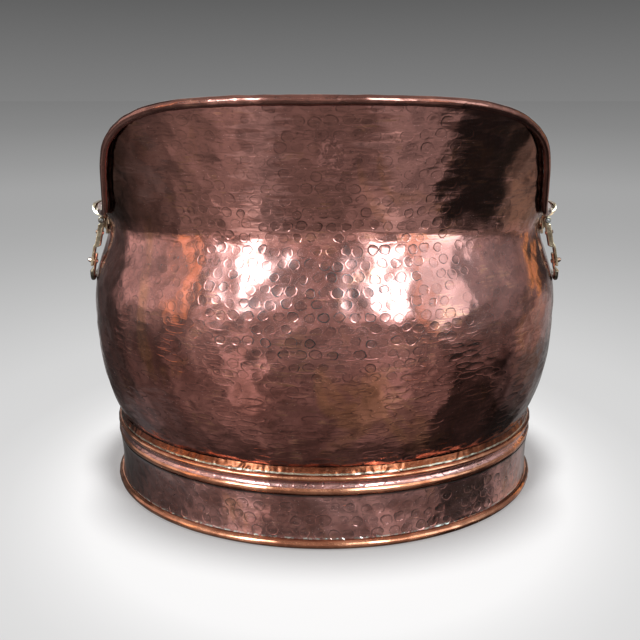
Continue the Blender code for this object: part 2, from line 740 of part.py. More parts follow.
def make_arm(base, side, facing, grip, group, tools):
    """A strap and its two rivets; the lower one also holds the grip's flat end."""
    y = facing * ARM_HALF_SPAN
    lean = arm_lean()
    tongue_lean = lean * TONGUE_LEAN_SHARE
    strap = make_strap(base + "_strap", side, y, group)
    half = STRAP_THICKNESS / 2
    point = arm_point(ARM_RIVET_PLACE, half, lean, (pivot_x(), PIVOT_HEIGHT))
    origin, outward = outward_place(side, y, point, lean)
    place = axis_place(origin, outward)
    head = (ARM_RIVET_HEAD_RADIUS, ARM_RIVET_HEAD_HEIGHT)
    tail = (ARM_RIVET_HEAD_RADIUS, ARM_RIVET_TAIL_HEIGHT)
    upper = rivet(base + "_strap_rivet", ARM_RIVET_RADIUS, STRAP_THICKNESS, head, tail,
                  RIVET_COPPER, group, place)
    reach = 2 * (STRAP_THICKNESS + CUT_OVERRUN)
    bore = ARM_RIVET_RADIUS + FIT_GAP
    boolean(strap, cylinder_tool(base + "_strap_hole", bore, reach, origin, outward, tools))
    point = arm_point(BALL_RIVET_PLACE, half, tongue_lean, tongue_start())
    origin, outward = outward_place(side, y, point, tongue_lean)
    ball = (BALL_HEAD_RADIUS, BALL_HEAD_HEIGHT)
    lower = rivet(base + "_grip_rivet", ARM_RIVET_RADIUS, STRAP_THICKNESS, ball, tail,
                  RIVET_COPPER, group, axis_place(origin, outward))
    hole = cylinder_tool(base + "_grip_hole", bore, reach, origin, outward, tools)
    boolean(strap, hole)
    boolean(grip, hole)
    return [strap, upper, lower]


def make_pin(name, side, facing, group):
    """A pin through the lug and the strap's eye, its head outside."""
    outer = ARM_HALF_SPAN + STRAP_WIDTH / 2
    length = outer - LUG_INNER + PIN_END
    head = dome(PIN_HEAD_RADIUS, PIN_HEAD_HEIGHT, FIT_GAP)
    profile = head + [(PIN_RADIUS, FIT_GAP), (PIN_RADIUS, -length), (0, -length)]
    origin = Vector((side * pivot_x(), facing * outer, PIVOT_HEIGHT))
    place = axis_place(origin, Vector((0, facing, 0)))
    return turned(name, profile, STEEL, group, place)


def grip_path():
    """Centre line of the bowed rod for the +X end, from the front arm to the back one."""
    start = tongue_start()
    lean = arm_lean() * TONGUE_LEAN_SHARE
    half_span = ARM_HALF_SPAN
    flat_top = TONGUE_LENGTH - GRIP_FLAT_LENGTH
    arm = [arm_point(along, 0, lean, start) for along in (
        flat_top, TONGUE_LENGTH - GRIP_FLAT_LENGTH / 2, TONGUE_LENGTH + 2 * FIT_GAP,
        TONGUE_LENGTH + 2 * GRIP_RADIUS)]
    low = PIVOT_HEIGHT - HANDLE_DROP
    inset = wall_inset(low) - GRIP_REST_GAP - GRIP_RADIUS
    corner_y = half_span - GRIP_CORNER
    bend = plan_point(angle_for(half_span, inset), inset, 0).x
    front = [Vector((x, -half_span, z)) for x, z in arm]
    corner_top = low + GRIP_CORNER
    above = bend + (arm[-1][0] - bend) * GRIP_BEND_SHARE
    front.append(Vector((above, -half_span, corner_top)))
    for number in range(1, GRIP_CORNER_POINTS):
        turn = math.pi / 2 * number / GRIP_CORNER_POINTS
        y = corner_y + GRIP_CORNER * math.cos(turn)
        x = plan_point(angle_for(y, inset), inset, 0).x
        front.append(Vector((x, -y, low + GRIP_CORNER * (1 - math.sin(turn)))))
    bar = []
    for share in spread(-1, 1, GRIP_BAR_POINTS - 1):
        y = corner_y * share
        bar.append(Vector((plan_point(angle_for(y, inset), inset, 0).x, y, low)))
    back = [Vector((point.x, -point.y, point.z)) for point in reversed(front)]
    return front + bar + back


def flatten_ends(mesh, side):
    """Press the rod's two ends to half their thickness, against the tongues' inner faces."""
    start = tongue_start()
    lean = arm_lean() * TONGUE_LEAN_SHARE
    press_low = start[1] - (TONGUE_LENGTH + GRIP_RADIUS) * math.cos(lean)
    half = STRAP_THICKNESS / 2
    for vert in mesh.vertices:
        if vert.co.z < press_low:
            continue
        along = (start[1] - vert.co.z) / math.cos(lean)
        line_x = start[0] + along * math.sin(lean)
        away = side * vert.co.x - line_x
        pressed = -half + (away + half) * TONGUE_THICKNESS / STRAP_THICKNESS
        vert.co.x = side * (line_x + pressed)
        centre = math.copysign(ARM_HALF_SPAN, vert.co.y)
        vert.co.y = centre + (vert.co.y - centre) * GRIP_FLAT_WIDTH_SHARE


def make_grip(end, side, group):
    points = [Vector((side * point.x, point.y, point.z)) for point in grip_path()]
    rod = mesh_of(tube(end + "_grip", points, GRIP_RADIUS, GRIP_SIDES, BRASS, group), group)
    flatten_ends(rod.data, side)
    shade(rod.data)
    return rod


def hang_on_pivot(end, side, moving, group):
    """Parent the moving pieces to an empty on the pins' line, leaving them in place."""
    place = Matrix.Translation((side * pivot_x(), 0, PIVOT_HEIGHT))
    pivot = add_object(end + "_handle_pivot", None, None, group, place)
    for piece in moving:
        piece.parent = pivot
        piece.matrix_parent_inverse = place.inverted()


def make_end(end, side, body, group, tools):
    make_handle_plate(end, side, body, group, tools)
    grip = make_grip(end, side, group)
    moving = [grip]
    for label, facing in (("front", -1), ("back", 1)):
        make_pin(end + "_" + label + "_pin", side, facing, group)
        moving += make_arm(end + "_" + label, side, facing, grip, group, tools)
    hang_on_pivot(end, side, moving, group)


def build():
    clear_scene()
    group = new_collection("coal_scuttle")
    tools = new_collection("cutters")
    body = make_body_shell(group)
    make_rim_wire(group)
    make_base_plate(group)
    make_foot_band(group)
    make_foot_rings(group)
    make_solder_seam(group)
    make_end("left", -1, body, group, tools)
    make_end("right", 1, body, group, tools)


build()
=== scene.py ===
"""Looks of the hammered copper coal scuttle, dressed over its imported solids. Metres, +Z up."""
import json
import math

import bpy
import numpy as np
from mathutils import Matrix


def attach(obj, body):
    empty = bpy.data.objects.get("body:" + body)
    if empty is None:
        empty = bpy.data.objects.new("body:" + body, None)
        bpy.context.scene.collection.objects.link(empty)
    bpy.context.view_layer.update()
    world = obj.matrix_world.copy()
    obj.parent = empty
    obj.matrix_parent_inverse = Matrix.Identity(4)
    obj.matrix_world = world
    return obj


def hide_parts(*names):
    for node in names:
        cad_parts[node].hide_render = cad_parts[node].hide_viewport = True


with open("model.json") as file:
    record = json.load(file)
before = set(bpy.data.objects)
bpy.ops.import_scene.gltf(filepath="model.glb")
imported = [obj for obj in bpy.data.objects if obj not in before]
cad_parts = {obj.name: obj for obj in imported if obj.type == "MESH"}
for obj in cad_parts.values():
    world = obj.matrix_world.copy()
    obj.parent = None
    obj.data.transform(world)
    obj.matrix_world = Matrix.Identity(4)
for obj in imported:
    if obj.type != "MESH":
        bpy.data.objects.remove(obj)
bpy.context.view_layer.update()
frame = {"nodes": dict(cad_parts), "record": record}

MM = 0.001

# The scuttle's own sizes, the same as its solids'.
BELLY_HALF_WIDTH = 213.0 * MM
DEPTH_SHARE = 0.84
SHEET = 1.2 * MM
FIT_GAP = 0.3 * MM
BELLY_HEIGHT = 160.0 * MM
NECK_IN = 17.2 * MM
NECK_HEIGHT = 247.0 * MM
NECK_FRONT_RISE = 12.0 * MM
NECK_RISE_POWER = 4
LOWER_CURVE_POWER = 2.5
UPPER_CURVE_POWER = 1.6
COLLAR_CURVE_POWER = 1.3
LOWER_IN = 17.4 * MM
LOWER_HEIGHT = 70.0 * MM
RIM_DIP_HEIGHT = 258.4 * MM
RIM_TOP_HEIGHT = 351.8 * MM
RIM_DIP_IN = 10.6 * MM
RIM_TOP_IN = -17.0 * MM
RIM_CURVE = (
    (0.00, 0.000), (0.25, 0.000), (0.38, 0.012), (0.45, 0.048), (0.50, 0.135), (0.55, 0.285),
    (0.60, 0.460), (0.65, 0.624), (0.71, 0.751), (0.80, 0.885), (0.90, 0.969), (1.00, 1.000),
)
RIM_BLUR = 0.02
ROLL_INNER = 2.5 * MM
ROLL_OUTER = ROLL_INNER + SHEET
SOCKET_IN = 19.4 * MM
SOCKET_TOP = 64.0 * MM
SOCKET_FLOOR = 55.0 * MM
FLANGE = 8.0 * MM
BAND_IN = 13.6 * MM
BAND_WAIST = 1.0 * MM
BAND_NECK_IN = 17.9 * MM
BAND_BOTTOM = 7.8 * MM
BAND_SHOULDER = 44.2 * MM
BAND_TOP = 62.6 * MM
BAND_MIDDLE = (BAND_BOTTOM + BAND_SHOULDER) / 2
BASE_PLATE_TOP = 58.0 * MM
BASE_PLATE_BOTTOM = 56.5 * MM
WIRE_RADIUS = 2.1 * MM

# How finely the visible skins are divided.
COLUMNS = 1000
WALL_ROWS = 145
COLLAR_ROWS = 83
INNER_STEP = 8
BEAD_TURNS = 24
BAND_ROWS = 34
BASE_PLATE_ROWS = 60
WELD = 0.002 * MM
# The wall's pieces, by their first and last rows. The collar runs on to the roll.
WALL_CUTS = {"lower_belly": (0, 72), "upper_belly": (72, 144), "collar": (144, 224)}

# The hammering on each skin: a mark's pitch along its row, the drop between rows, depth and
# seed; and, where they aren't the usual, its reach as a share of the pitch, length and drift.
HAMMERING = {
    "upper belly": {"pitch": 13.0 * MM, "drop": 11.8 * MM, "depth": 0.10 * MM, "seed": 7,
                    "reach": (0.32, 0.42), "drift": 0.22},
    "collar": {"pitch": 11.6 * MM, "drop": 10.8 * MM, "depth": 0.09 * MM, "seed": 8,
               "reach": (0.38, 0.50), "drift": 0.3},
    "facets": {"pitch": 12.0 * MM, "drop": 9.6 * MM, "depth": 0.13 * MM, "seed": 9},
    "long dents": {"pitch": 19 * MM, "drop": 5.2 * MM, "depth": 0.17 * MM, "seed": 10,
                   "reach": (0.40, 0.62), "long": 2.6},
    "roll": {"pitch": 12 * MM, "drop": 5 * MM, "depth": 0.14 * MM, "seed": 3},
    "band": {"pitch": 14.5 * MM, "drop": 13.0 * MM, "depth": 0.20 * MM, "seed": 21,
             "reach": (0.36, 0.46), "drift": 0.2},
    "band facets": {"pitch": 12.0 * MM, "drop": 10.0 * MM, "depth": 0.22 * MM, "seed": 23},
    "bead": {"pitch": 14 * MM, "drop": 30 * MM, "depth": 0.10 * MM, "seed": 32},
    "base plate": {"pitch": 13 * MM, "drop": 3.2 * MM, "depth": 0.25 * MM, "seed": 51},
}
# Slow unevenness: the size of its waves, their depth and the seed.
WOBBLE = {
    "hammering's edge": (50 * MM, 9 * MM, 12),
    "hammering's force": (55 * MM, 0.35, 13),
    "wall": (90 * MM, 0.30 * MM, 11),
    "wall, closer": (42 * MM, 0.22 * MM, 14),
    "roll": (30 * MM, 0.16 * MM, 5),
    "band": (70 * MM, 0.22 * MM, 22),
    "bead": (28 * MM, 0.12 * MM, 31),
    "solder": (16 * MM, 0.34 * MM, 41),
    "solder, closer": (5 * MM, 0.12 * MM, 42),
}
WAVES = 14
WAVE_REACH = 3.7

# Inset and height of the foot's cove and of the solder's section, in millimetres.
COVE = ((15.4, 47.3), (16.6, 50.0), (13.6, 53.5), (14.7, 54.6), (15.3, 56.1), (15.2, 57.6),
        (14.5, 58.9), (13.6, 59.7), (17.6, 60.8), (17.9, 62.6))
SOLDER_SECTION = ((18.6, 64.3), (16.8, 64.0), (14.9, 64.0), (14.9, 65.0), (15.1, 66.0),
                  (15.5, 66.9), (15.9, 67.8), (16.4, 68.9), (17.15, 70.5), (17.8, 69.0),
                  (18.3, 66.4))

# How far the band's face goes up behind the lower bead, and how wide its unstruck edges are.
BAND_LAP = 3.0 * MM
BAND_EDGE = 2 * MM
# The band's back: heights behind the cove, then share of the bow and height behind the face.
BACK_OF_COVE = (BAND_TOP, BAND_SHOULDER + 0.9 * MM)
BACK_OF_BAND = ((0.9, BAND_SHOULDER - SHEET), (0, BAND_MIDDLE), (1, BAND_BOTTOM))
# The foot's beads: solid, inset, height, radius and the inset where a wall cuts it off, in
# millimetres.
BEADS = {
    "foot_base_bead": ("foot_base_ring", 13.5, 3.6, 3.9, math.inf),
    "foot_lower_roll": ("foot_lower_bead", 17.0, 50.5, 4.4, 17.6),
    "foot_upper_roll": ("foot_upper_bead", 15.1, 61.5, 2.5, math.inf),
}
# How freely each row of the solder's section is lumped inwards, and the least that it is.
SOLDER_FREE = (0, 0, 0.3, 1, 1, 1, 1, 0.8, 0.5, 0, 0)
SOLDER_LEAST = 0.12 * MM

# The struck marks that the finishes draw.
MARK_PITCH = 10.4 * MM
BAND_MARK_PITCH = 12.4 * MM
MARKED_RADIUS = 196.0 * MM


# ---------------------------------------------------------------- shapes on the oval


def arc_angles(columns):
    """Plan angles that share the belly's girth out evenly."""
    fine = np.linspace(0, 2 * math.pi, 20001)
    step = np.hypot(np.sin(fine), DEPTH_SHARE * np.cos(fine))
    girth = np.concatenate([[0], np.cumsum((step[1:] + step[:-1]) / 2)])
    return np.interp(np.arange(columns) / columns * girth[-1], girth, fine)


def plan(angle, inset, height):
    """Points on the oval that lies inset inside the belly's, along its normal."""
    angle, inset, height = np.broadcast_arrays(angle, inset, height)
    across, along = DEPTH_SHARE * np.cos(angle), np.sin(angle)
    size = np.hypot(across, along)
    x = BELLY_HALF_WIDTH * np.cos(angle) - across / size * inset
    y = BELLY_HALF_WIDTH * DEPTH_SHARE * np.sin(angle) - along / size * inset
    return np.stack([x, y, height], -1)


def unit(vectors):
    return vectors / np.linalg.norm(vectors, axis=-1, keepdims=True)


def wall_inset(height):
    """How far the wall stands inside the belly's widest oval at each height."""
    drop = np.clip((BELLY_HEIGHT - height) / (BELLY_HEIGHT - LOWER_HEIGHT), 0, 1)
    climb = np.clip((height - BELLY_HEIGHT) / (NECK_HEIGHT - BELLY_HEIGHT), 0, 1)
    return np.where(height < BELLY_HEIGHT, LOWER_IN * drop ** LOWER_CURVE_POWER,
                    NECK_IN * np.sin(math.pi / 2 * climb ** UPPER_CURVE_POWER) ** 2)


def neck_lift(angle, height):
    """How much higher a row of the wall runs at the front and back than at the ends."""
    climb = np.clip((height - BELLY_HEIGHT) / (NECK_HEIGHT - BELLY_HEIGHT), 0, None)
    return climb * NECK_FRONT_RISE * np.sin(angle) ** NECK_RISE_POWER


def curve_rise(along):
    """The rim's rise: a smooth curve through its points that never swings past one."""
    shares = np.array([point[0] for point in RIM_CURVE])
    rises = np.array([point[1] for point in RIM_CURVE])
    spans = np.diff(shares)
    slopes = np.diff(rises) / spans
    both = slopes[:-1] + slopes[1:]
    middle = np.where(both > 0, 2 * slopes[:-1] * slopes[1:] / np.maximum(both, 1e-9), 0)
    tangents = np.concatenate([[0], middle, [slopes[-1] / 2]])
    number = np.clip(np.searchsorted(shares, along) - 1, 0, len(spans) - 1)
    t = (along - shares[number]) / spans[number]
    start, end = rises[number], rises[number + 1]
    rise = start + (end - start) * t * t * (3 - 2 * t)
    rise = rise + spans[number] * tangents[number] * t * (1 - t) ** 2
    return rise - spans[number] * tangents[number + 1] * t * t * (1 - t)


def rim_centre(angle):
    """The middle of the rim's wire, with the curve's corners blurred."""
    along = np.abs(np.sin(angle))
    steps = np.linspace(-RIM_BLUR, RIM_BLUR, 5)
    rise = sum(curve_rise(np.clip(np.abs(along + step), 0, 1)) for step in steps) / len(steps)
    height = RIM_DIP_HEIGHT + (RIM_TOP_HEIGHT - RIM_DIP_HEIGHT) * rise
    return plan(angle, RIM_DIP_IN + (RIM_TOP_IN - RIM_DIP_IN) * rise, height)


def rim_offset(angle, turn, radius):
    """Points round the rim's wire: turn 0 is outward and a quarter turn is up."""
    centre = rim_centre(angle)
    run = unit(rim_centre(angle + 0.02) - rim_centre(angle - 0.02))
    outward = unit(plan(angle, -1.0, 0.0) - plan(angle, 0.0, 0.0))
    outward = unit(outward - run * (outward * run).sum(-1, keepdims=True))
    upward = np.cross(outward, run)
    return centre + (outward * np.cos(turn) + upward * np.sin(turn)) * radius


# ---------------------------------------------------------------- hammering


def girth_of(rows):
    """Distance round each row of a ring of points, and the share of it at each column."""
    steps = np.linalg.norm(np.roll(rows, -1, axis=1) - rows, axis=-1)
    girth = steps.sum(axis=1, keepdims=True)
    share = (np.cumsum(steps, axis=1) - steps) / girth
    return girth, share


def hammer(rows, pitch, drop, depth, seed, reach=(0.58, 0.80), long=1.0, drift=0.3):
    """How far each point is struck in: staggered rows of round marks, each a shallow bowl."""
    girth, share = girth_of(rows)
    climb = np.linalg.norm(np.diff(rows, axis=0), axis=-1).mean(axis=1)
    climb = np.concatenate([[0], np.cumsum(climb)])[:, None]
    count_rows = int(climb[-1, 0] / drop) + 4
    mark_girth = np.interp(np.arange(-1, count_rows) * drop, climb[:, 0], girth[:, 0])
    counts = np.round(mark_girth / pitch).astype(int)
    chance = np.random.default_rng(seed)
    shape = (count_rows + 1, counts.max() + 1)
    slip_u = chance.uniform(-drift, drift, shape)
    slip_v = chance.uniform(-drift, drift, shape)
    radius = pitch * chance.uniform(*reach, shape)
    force = depth * chance.uniform(0.15, 1.0, shape)
    shift = chance.uniform(-0.2, 0.2, count_rows + 1)
    deepest = np.zeros(share.shape)
    row_of = np.floor(climb / drop).astype(int)
    for row_step in (-1, 0, 1):
        row = np.clip(row_of + row_step, -1, count_rows - 1) + 1
        count = counts[row]
        place = share * count - row % 2 * 0.5 - shift[row]
        near = np.floor(place).astype(int)
        for side in (-1, 0, 1):
            number = (near + side) % count
            centre = near + side + 0.5 + slip_u[row, number]
            across = (place - centre) * girth / count
            up = (climb - (row - 0.5 + slip_v[row, number]) * drop) * long
            far = (across ** 2 + up ** 2) / radius[row, number] ** 2
            deepest = np.minimum(deepest, force[row, number] * (far - 1))
    return deepest


def wobble(rows, size, depth, seed):
    """Slow unevenness from raising the sheet by hand."""
    chance = np.random.default_rng(seed)
    moved = np.zeros(rows.shape[:2])
    for _ in range(WAVES):
        wave = chance.normal(size=3)
        wave = wave / np.linalg.norm(wave) * chance.uniform(0.7, 2.2) / size
        moved += np.sin(2 * math.pi * (rows @ wave) + chance.uniform(0, 6.3))
    return depth * moved / WAVE_REACH


def outward_of(rows):
    """Normals of a grid that closes on itself along its columns."""
    along = np.roll(rows, -1, axis=1) - np.roll(rows, 1, axis=1)
    up = np.gradient(rows, axis=0)
    return unit(np.cross(along, up))


def push(rows, amount):
    return rows + outward_of(rows) * amount[..., None]


def fade(values, start, end):
    t = np.clip((values - start) / (end - start), 0, 1)
    return t * t * (3 - 2 * t)


# ---------------------------------------------------------------- meshes


def only(thing):
    bpy.ops.object.select_all(action="DESELECT")
    thing.select_set(True)
    bpy.context.view_layer.objects.active = thing


def finish_mesh(thing, crease=40):
    """Weld, point the faces outwards and smooth, with the creases left sharp."""
    only(thing)
    bpy.ops.object.mode_set(mode="EDIT")
    bpy.ops.mesh.select_all(action="SELECT")
    bpy.ops.mesh.remove_doubles(threshold=WELD)
    bpy.ops.mesh.normals_make_consistent(inside=False)
    bpy.ops.object.mode_set(mode="OBJECT")
    bpy.ops.object.shade_smooth_by_angle(angle=math.radians(crease))
    return thing


def bent_grid(name, points, crease=40, normals=None):
    """A flat grid, bent into a closed ring whose vertices lie on the given rows of points.

    Normals, where given, say how each point is shaded."""
    rise, run = points.shape[:2]
    bpy.ops.object.select_all(action="DESELECT")
    bpy.ops.mesh.primitive_grid_add(x_subdivisions=run, y_subdivisions=rise, size=2)
    thing = bpy.context.active_object
    thing.name = name
    thing.data.name = name
    flat = np.zeros(len(thing.data.vertices) * 3, np.float32)
    thing.data.vertices.foreach_get("co", flat)
    flat = flat.reshape(-1, 3)
    across = np.rint((flat[:, 0] + 1) / 2 * run).astype(int) % run
    up = np.rint((flat[:, 1] + 1) / 2 * rise).astype(int) % rise
    thing.data.vertices.foreach_set("co", points[up, across].astype(np.float32).ravel())
    if normals is None:
        return finish_mesh(thing, crease)
    place = thing.data.attributes.new("place", "INT", "POINT")
    place.data.foreach_set("value", (up * run + across).astype(np.int32))
    finish_mesh(thing, 180)
    place = np.zeros(len(thing.data.vertices), np.int32)
    thing.data.attributes["place"].data.foreach_get("value", place)
    thing.data.attributes.remove(thing.data.attributes["place"])
    thing.data.normals_split_custom_set_from_vertices(normals.reshape(-1, 3)[place])
    return thing


def dress(thing, body, finish, slot, *nodes):
    """Finish a piece, set it riding on its body, and let it stand for these solids."""
    thing.data.materials.clear()
    thing.data.materials.append(finish)
    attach(thing, body)
    if nodes:
        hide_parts(*nodes)


# ---------------------------------------------------------------- materials


class Value:
    """A socket that takes part in Python arithmetic by adding Math nodes."""

    def __init__(self, finish, socket):
        self.finish = finish
        self.socket = socket

    def math(self, operation, other=None):
        sockets = {0: self} if other is None else {0: self, 1: other}
        return self.finish.add("ShaderNodeMath", {"operation": operation}, sockets)

    def __add__(self, other):
        return self.math("ADD", other)

    def __radd__(self, other):
        return self.math("ADD", other)

    def __sub__(self, other):
        return self.math("SUBTRACT", other)

    def __rsub__(self, other):
        return self.math("MULTIPLY", -1.0).math("ADD", other)

    def __mul__(self, other):
        return self.math("MULTIPLY", other)

    def __rmul__(self, other):
        return self.math("MULTIPLY", other)

    def __truediv__(self, other):
        return self.math("DIVIDE", other)

    def __pow__(self, other):
        return self.math("POWER", other)


class Finish:
    """A node material or world, built up one node at a time."""

    def __init__(self, tree):
        self.tree = tree
        self.tree.nodes.clear()

    def add(self, kind, settings=None, sockets=None, out=0):
        """A node of that kind: its settings first, then the values or links of its sockets."""
        node = self.tree.nodes.new(kind)
        for key, value in (settings or {}).items():
            if key == "stops":
                ramp = node.color_ramp
                while len(ramp.elements) < len(value):
                    ramp.elements.new(0.5)
                for element, (place, colour) in zip(ramp.elements, value):
                    element.position = place
                    element.color = (*colour, 1)
            else:
                setattr(node, key, value)
        for key, value in (sockets or {}).items():
            if isinstance(value, Value):
                self.tree.links.new(value.socket, node.inputs[key])
            else:
                node.inputs[key].default_value = value
        return Value(self, node.outputs[out]) if len(node.outputs) else None

    def coords(self, scale=(1, 1, 1)):
        place = self.add("ShaderNodeTexCoord", out="Object")
        return self.add("ShaderNodeMapping", {}, {"Vector": place, "Scale": scale})

    def split(self, vector):
        whole = self.add("ShaderNodeSeparateXYZ", {}, {0: vector}).socket.node
        return [Value(self, socket) for socket in whole.outputs]

    def axes(self):
        return self.split(self.add("ShaderNodeTexCoord", out="Object"))

    def height(self):
        return self.axes()[2]

    def noise(self, vector, scale, detail=3.0, rough=0.55, bend=0.0):
        return self.add("ShaderNodeTexNoise", {},
                        {"Vector": vector, "Scale": scale, "Detail": detail,
                         "Roughness": rough, "Distortion": bend})

    def struck_rings(self, vector, scale, reach):
        """Scattered hollows with a thin raised lip, and the dark lines where lips have split."""
        far = self.add("ShaderNodeTexVoronoi", {"feature": "F1"},
                       {"Vector": vector, "Scale": scale, "Randomness": 0.85})
        share = (far / reach).math("MINIMUM", 1.0)
        away = (far - reach).math("ABSOLUTE")
        broken = self.span(self.noise(vector, 60.0, 3.0, 0.6), 0.50, 0.60)
        return (share * share + self.span(away, 0.0, 0.07, 0.45, 0.0),
                self.span(away, 0.0, 0.045, 1.0, 0.0) * broken)

    def struck_rows(self, pitch, drop, reach=0.40, loose=0.28):
        """Staggered rows of round marks, wrapped round the oval: each sunk with a crisp edge.

        Reach is a mark's radius and loose its stray, as shares of the pitch. The second value is
        tarnish with painted shade along the mark's edge and, fainter, a painted darker reflection
        inside it."""
        x, y, z = self.axes()
        turn = (y / DEPTH_SHARE).math("ARCTAN2", x * -1.0)
        count = round(2 * math.pi * MARKED_RADIUS / pitch)
        rise = z / drop
        row = (rise + (0.5 - loose / 2)).math("FLOOR")
        along = turn * (count / (2 * math.pi)) + row.math("MODULO", 2.0) * 0.5
        askew = self.noise(self.coords(), 150.0, 2.0) - 0.5
        flat = self.add("ShaderNodeCombineXYZ", {}, {0: along + askew * 0.34,
                                                     1: rise + askew * 0.28})
        far = self.add("ShaderNodeTexVoronoi", {"feature": "F1", "voronoi_dimensions": "2D"},
                       {"Vector": flat, "Scale": 1.0, "Randomness": loose})
        cell = Value(self, far.socket.node.outputs["Color"])
        red = self.add("ShaderNodeSeparateColor", {}, {0: cell})
        blue = Value(self, red.socket.node.outputs[2])
        size = reach * (0.86 + red * 0.22)
        force = 0.2 + blue * 0.8
        past = far - size
        bowl = (far / size).math("MINIMUM", 1.0) ** 2.0 - 1.0
        sunk = self.span(past, -0.075, 0.0, -0.55, 0.0) + bowl
        lip = self.span(past.math("ABSOLUTE"), 0.0, 0.06, 0.25, 0.0)
        # Tarnish with painted shade along each mark's edge; a painted darker reflection inside it.
        edge = self.span((past + 0.02).math("ABSOLUTE"), 0.0, 0.075, 1.0, 0.0)
        inside = self.span(past, -0.05, 0.0, 0.25, 0.0)
        broken = self.span(self.noise(self.coords(), 70.0, 3.0, 0.6), 0.42, 0.60)
        return (sunk + lip) * force, (edge * broken).math("MAXIMUM", inside) * force

    def span(self, value, low, high, to_low=0.0, to_high=1.0):
        """A smooth step from to_low to to_high while the value goes from low to high."""
        return self.add("ShaderNodeMapRange", {"interpolation_type": "SMOOTHSTEP"},
                        {"Value": value, "From Min": low, "From Max": high,
                         "To Min": to_low, "To Max": to_high})

    def mix(self, share, first, second):
        """A mix of two colours, given as values or links."""
        node = self.tree.nodes.new("ShaderNodeMix")
        node.data_type = "RGBA"
        for key, value in ((0, share), (6, first), (7, second)):
            if isinstance(value, Value):
                self.tree.links.new(value.socket, node.inputs[key])
            elif key == 0:
                node.inputs[key].default_value = value
            else:
                node.inputs[key].default_value = (*value, 1)
        return Value(self, node.outputs[2])

    def metal(self, colour, roughness, height, depth, coat=None):
        """The finished metal: height is its fine relief, depth the relief's scale."""
        bump = self.add("ShaderNodeBump", {},
                        {"Height": height, "Distance": depth, "Strength": 1.0})
        sockets = {"Base Color": colour, "Roughness": roughness, "Metallic": 1.0, "Normal": bump}
        sockets.update(coat or {})
        self.add_output(self.add("ShaderNodeBsdfPrincipled", {}, sockets))

    def add_output(self, shader, kind="ShaderNodeOutputMaterial"):
        self.add(kind, {}, {"Surface": shader})


# The dark colour of painted shade in creases.
PAINTED_SHADE = (0.05, 0.024, 0.018)
# The colour of the collar's painted pale reflections of the lamps.
LAMP_REFLECTION_COPPER = (0.88, 0.41, 0.355)

# Heights in metres where painted shade, solder and the handles' darker ends lie, or between which
# they come or go.
GROUND_SHADE = (0.0004, 0.0020)
BASE_SEAM = (0.0098, 0.0112)
SHOULDER_SHADE = (0.0448, 0.0468)
SHOULDER_BRIGHT = (0.0488, 0.0500)
UNDER_BEAD = 0.0470
OVER_BEAD = 0.0552
COVE_CREASE = 0.0600
SOLDER_LINE = 0.0652
SOLDER_TOP = (0.0672, 0.0682)
WALL_FOOT_SHADE = (0.0695, 0.0750)
HANDLE_ENDS = (0.203, 0.220)


def new_finish(name):
    material = bpy.data.materials.new(name)
    material.use_nodes = True
    return material, Finish(material.node_tree)


def darker(colour, share):
    return tuple(share * c for c in colour)


def collar_tones(f, tone, bright, above, torn, blotch, patch):
    """The collar's copper, brightened as painted light, with painted pale reflections of the lamps
    in two columns, a painted dark reflection with torn edges, and a scuff.
    """
    x, y, z = f.axes()
    # Painted light: the whole collar is given a brighter copper.
    tone = f.mix(above * 0.85, tone, bright)
    # Painted reflection: pale columns where the lamps show on the collar.
    lamp_columns = f.span((torn + 0.047).math("ABSOLUTE"), 0.010, 0.018, 1.0, 0.0)
    lamp_columns = lamp_columns + f.span(torn, 0.032, 0.042)
    tone = f.mix(lamp_columns * above * 0.8, tone, LAMP_REFLECTION_COPPER)
    # Painted reflection: a dark patch with torn edges on the right of the collar.
    collar_dark_reflection = f.span(z + patch * 0.03, 0.280, 0.286)
    collar_dark_reflection = collar_dark_reflection * f.span(torn, 0.086, 0.094) * f.span(torn, 0.120, 0.128, 0.85, 0.0)
    tone = f.mix(collar_dark_reflection, tone, (0.15, 0.056, 0.042))
    far = (((x - 0.004) / 0.011) ** 2.0 + ((z - 0.313) / 0.019) ** 2.0).math("SQRT")
    scuff = f.span(f.noise(f.coords(), 170.0, 2.0, 0.5, 1.2), 0.50, 0.56)
    scuff = scuff * f.span(far + blotch * 0.6, 0.9, 1.3, 0.8, 0.0) * f.span(y, -0.1, 0.0, 1.0, 0.0)
    return f.mix(scuff, tone, (1.0, 0.44, 0.38))


def end_dark_reflections(f, tone, above, torn, blotch, patch):
    """Painted darker reflections at both ends of the collar, and one low on the belly's right.

    The second value is how far each of the two dull ones goes."""
    x, _, z = f.axes()
    # Painted reflection: the collar's left end darkened.
    dark_reflection = above * f.span(x + blotch * 0.09, -0.115, -0.060, 0.96, 0.0)
    tone = f.mix(dark_reflection, tone, (0.080, 0.031, 0.015))
    # Painted reflection: a darker golden-brown tone at the collar's right end.
    tone = f.mix(above * f.span(torn, 0.120, 0.130, 0.0, 0.8), tone, (0.20, 0.085, 0.045))
    # Painted reflection: the belly darkened low on the right.
    low_dark_reflection = f.span(x + blotch * 0.05, 0.150, 0.175)
    low_dark_reflection = low_dark_reflection * f.span(z + patch * 0.04, 0.165, 0.188, 0.75, 0.0)
    return f.mix(low_dark_reflection, tone, (0.07, 0.028, 0.025)), (dark_reflection, low_dark_reflection)


def band_marks(f, tone, deep, marks, tarnish_and_shade, patch, speck):
    """The foot's marks and the solder along its base ring: the tone, and the relief."""
    z = f.height()
    # Tarnish with painted shade along the foot's marks, and a painted darker reflection inside
    # them.
    tone = f.mix(tarnish_and_shade * 0.7, tone, darker(deep, 0.35))
    seam = f.span(z + patch * 0.003, *BASE_SEAM, 1.0, 0.0)
    return f.mix(seam * f.span(speck, 0.42, 0.56), tone, (0.62, 0.58, 0.52)), marks * 1.8


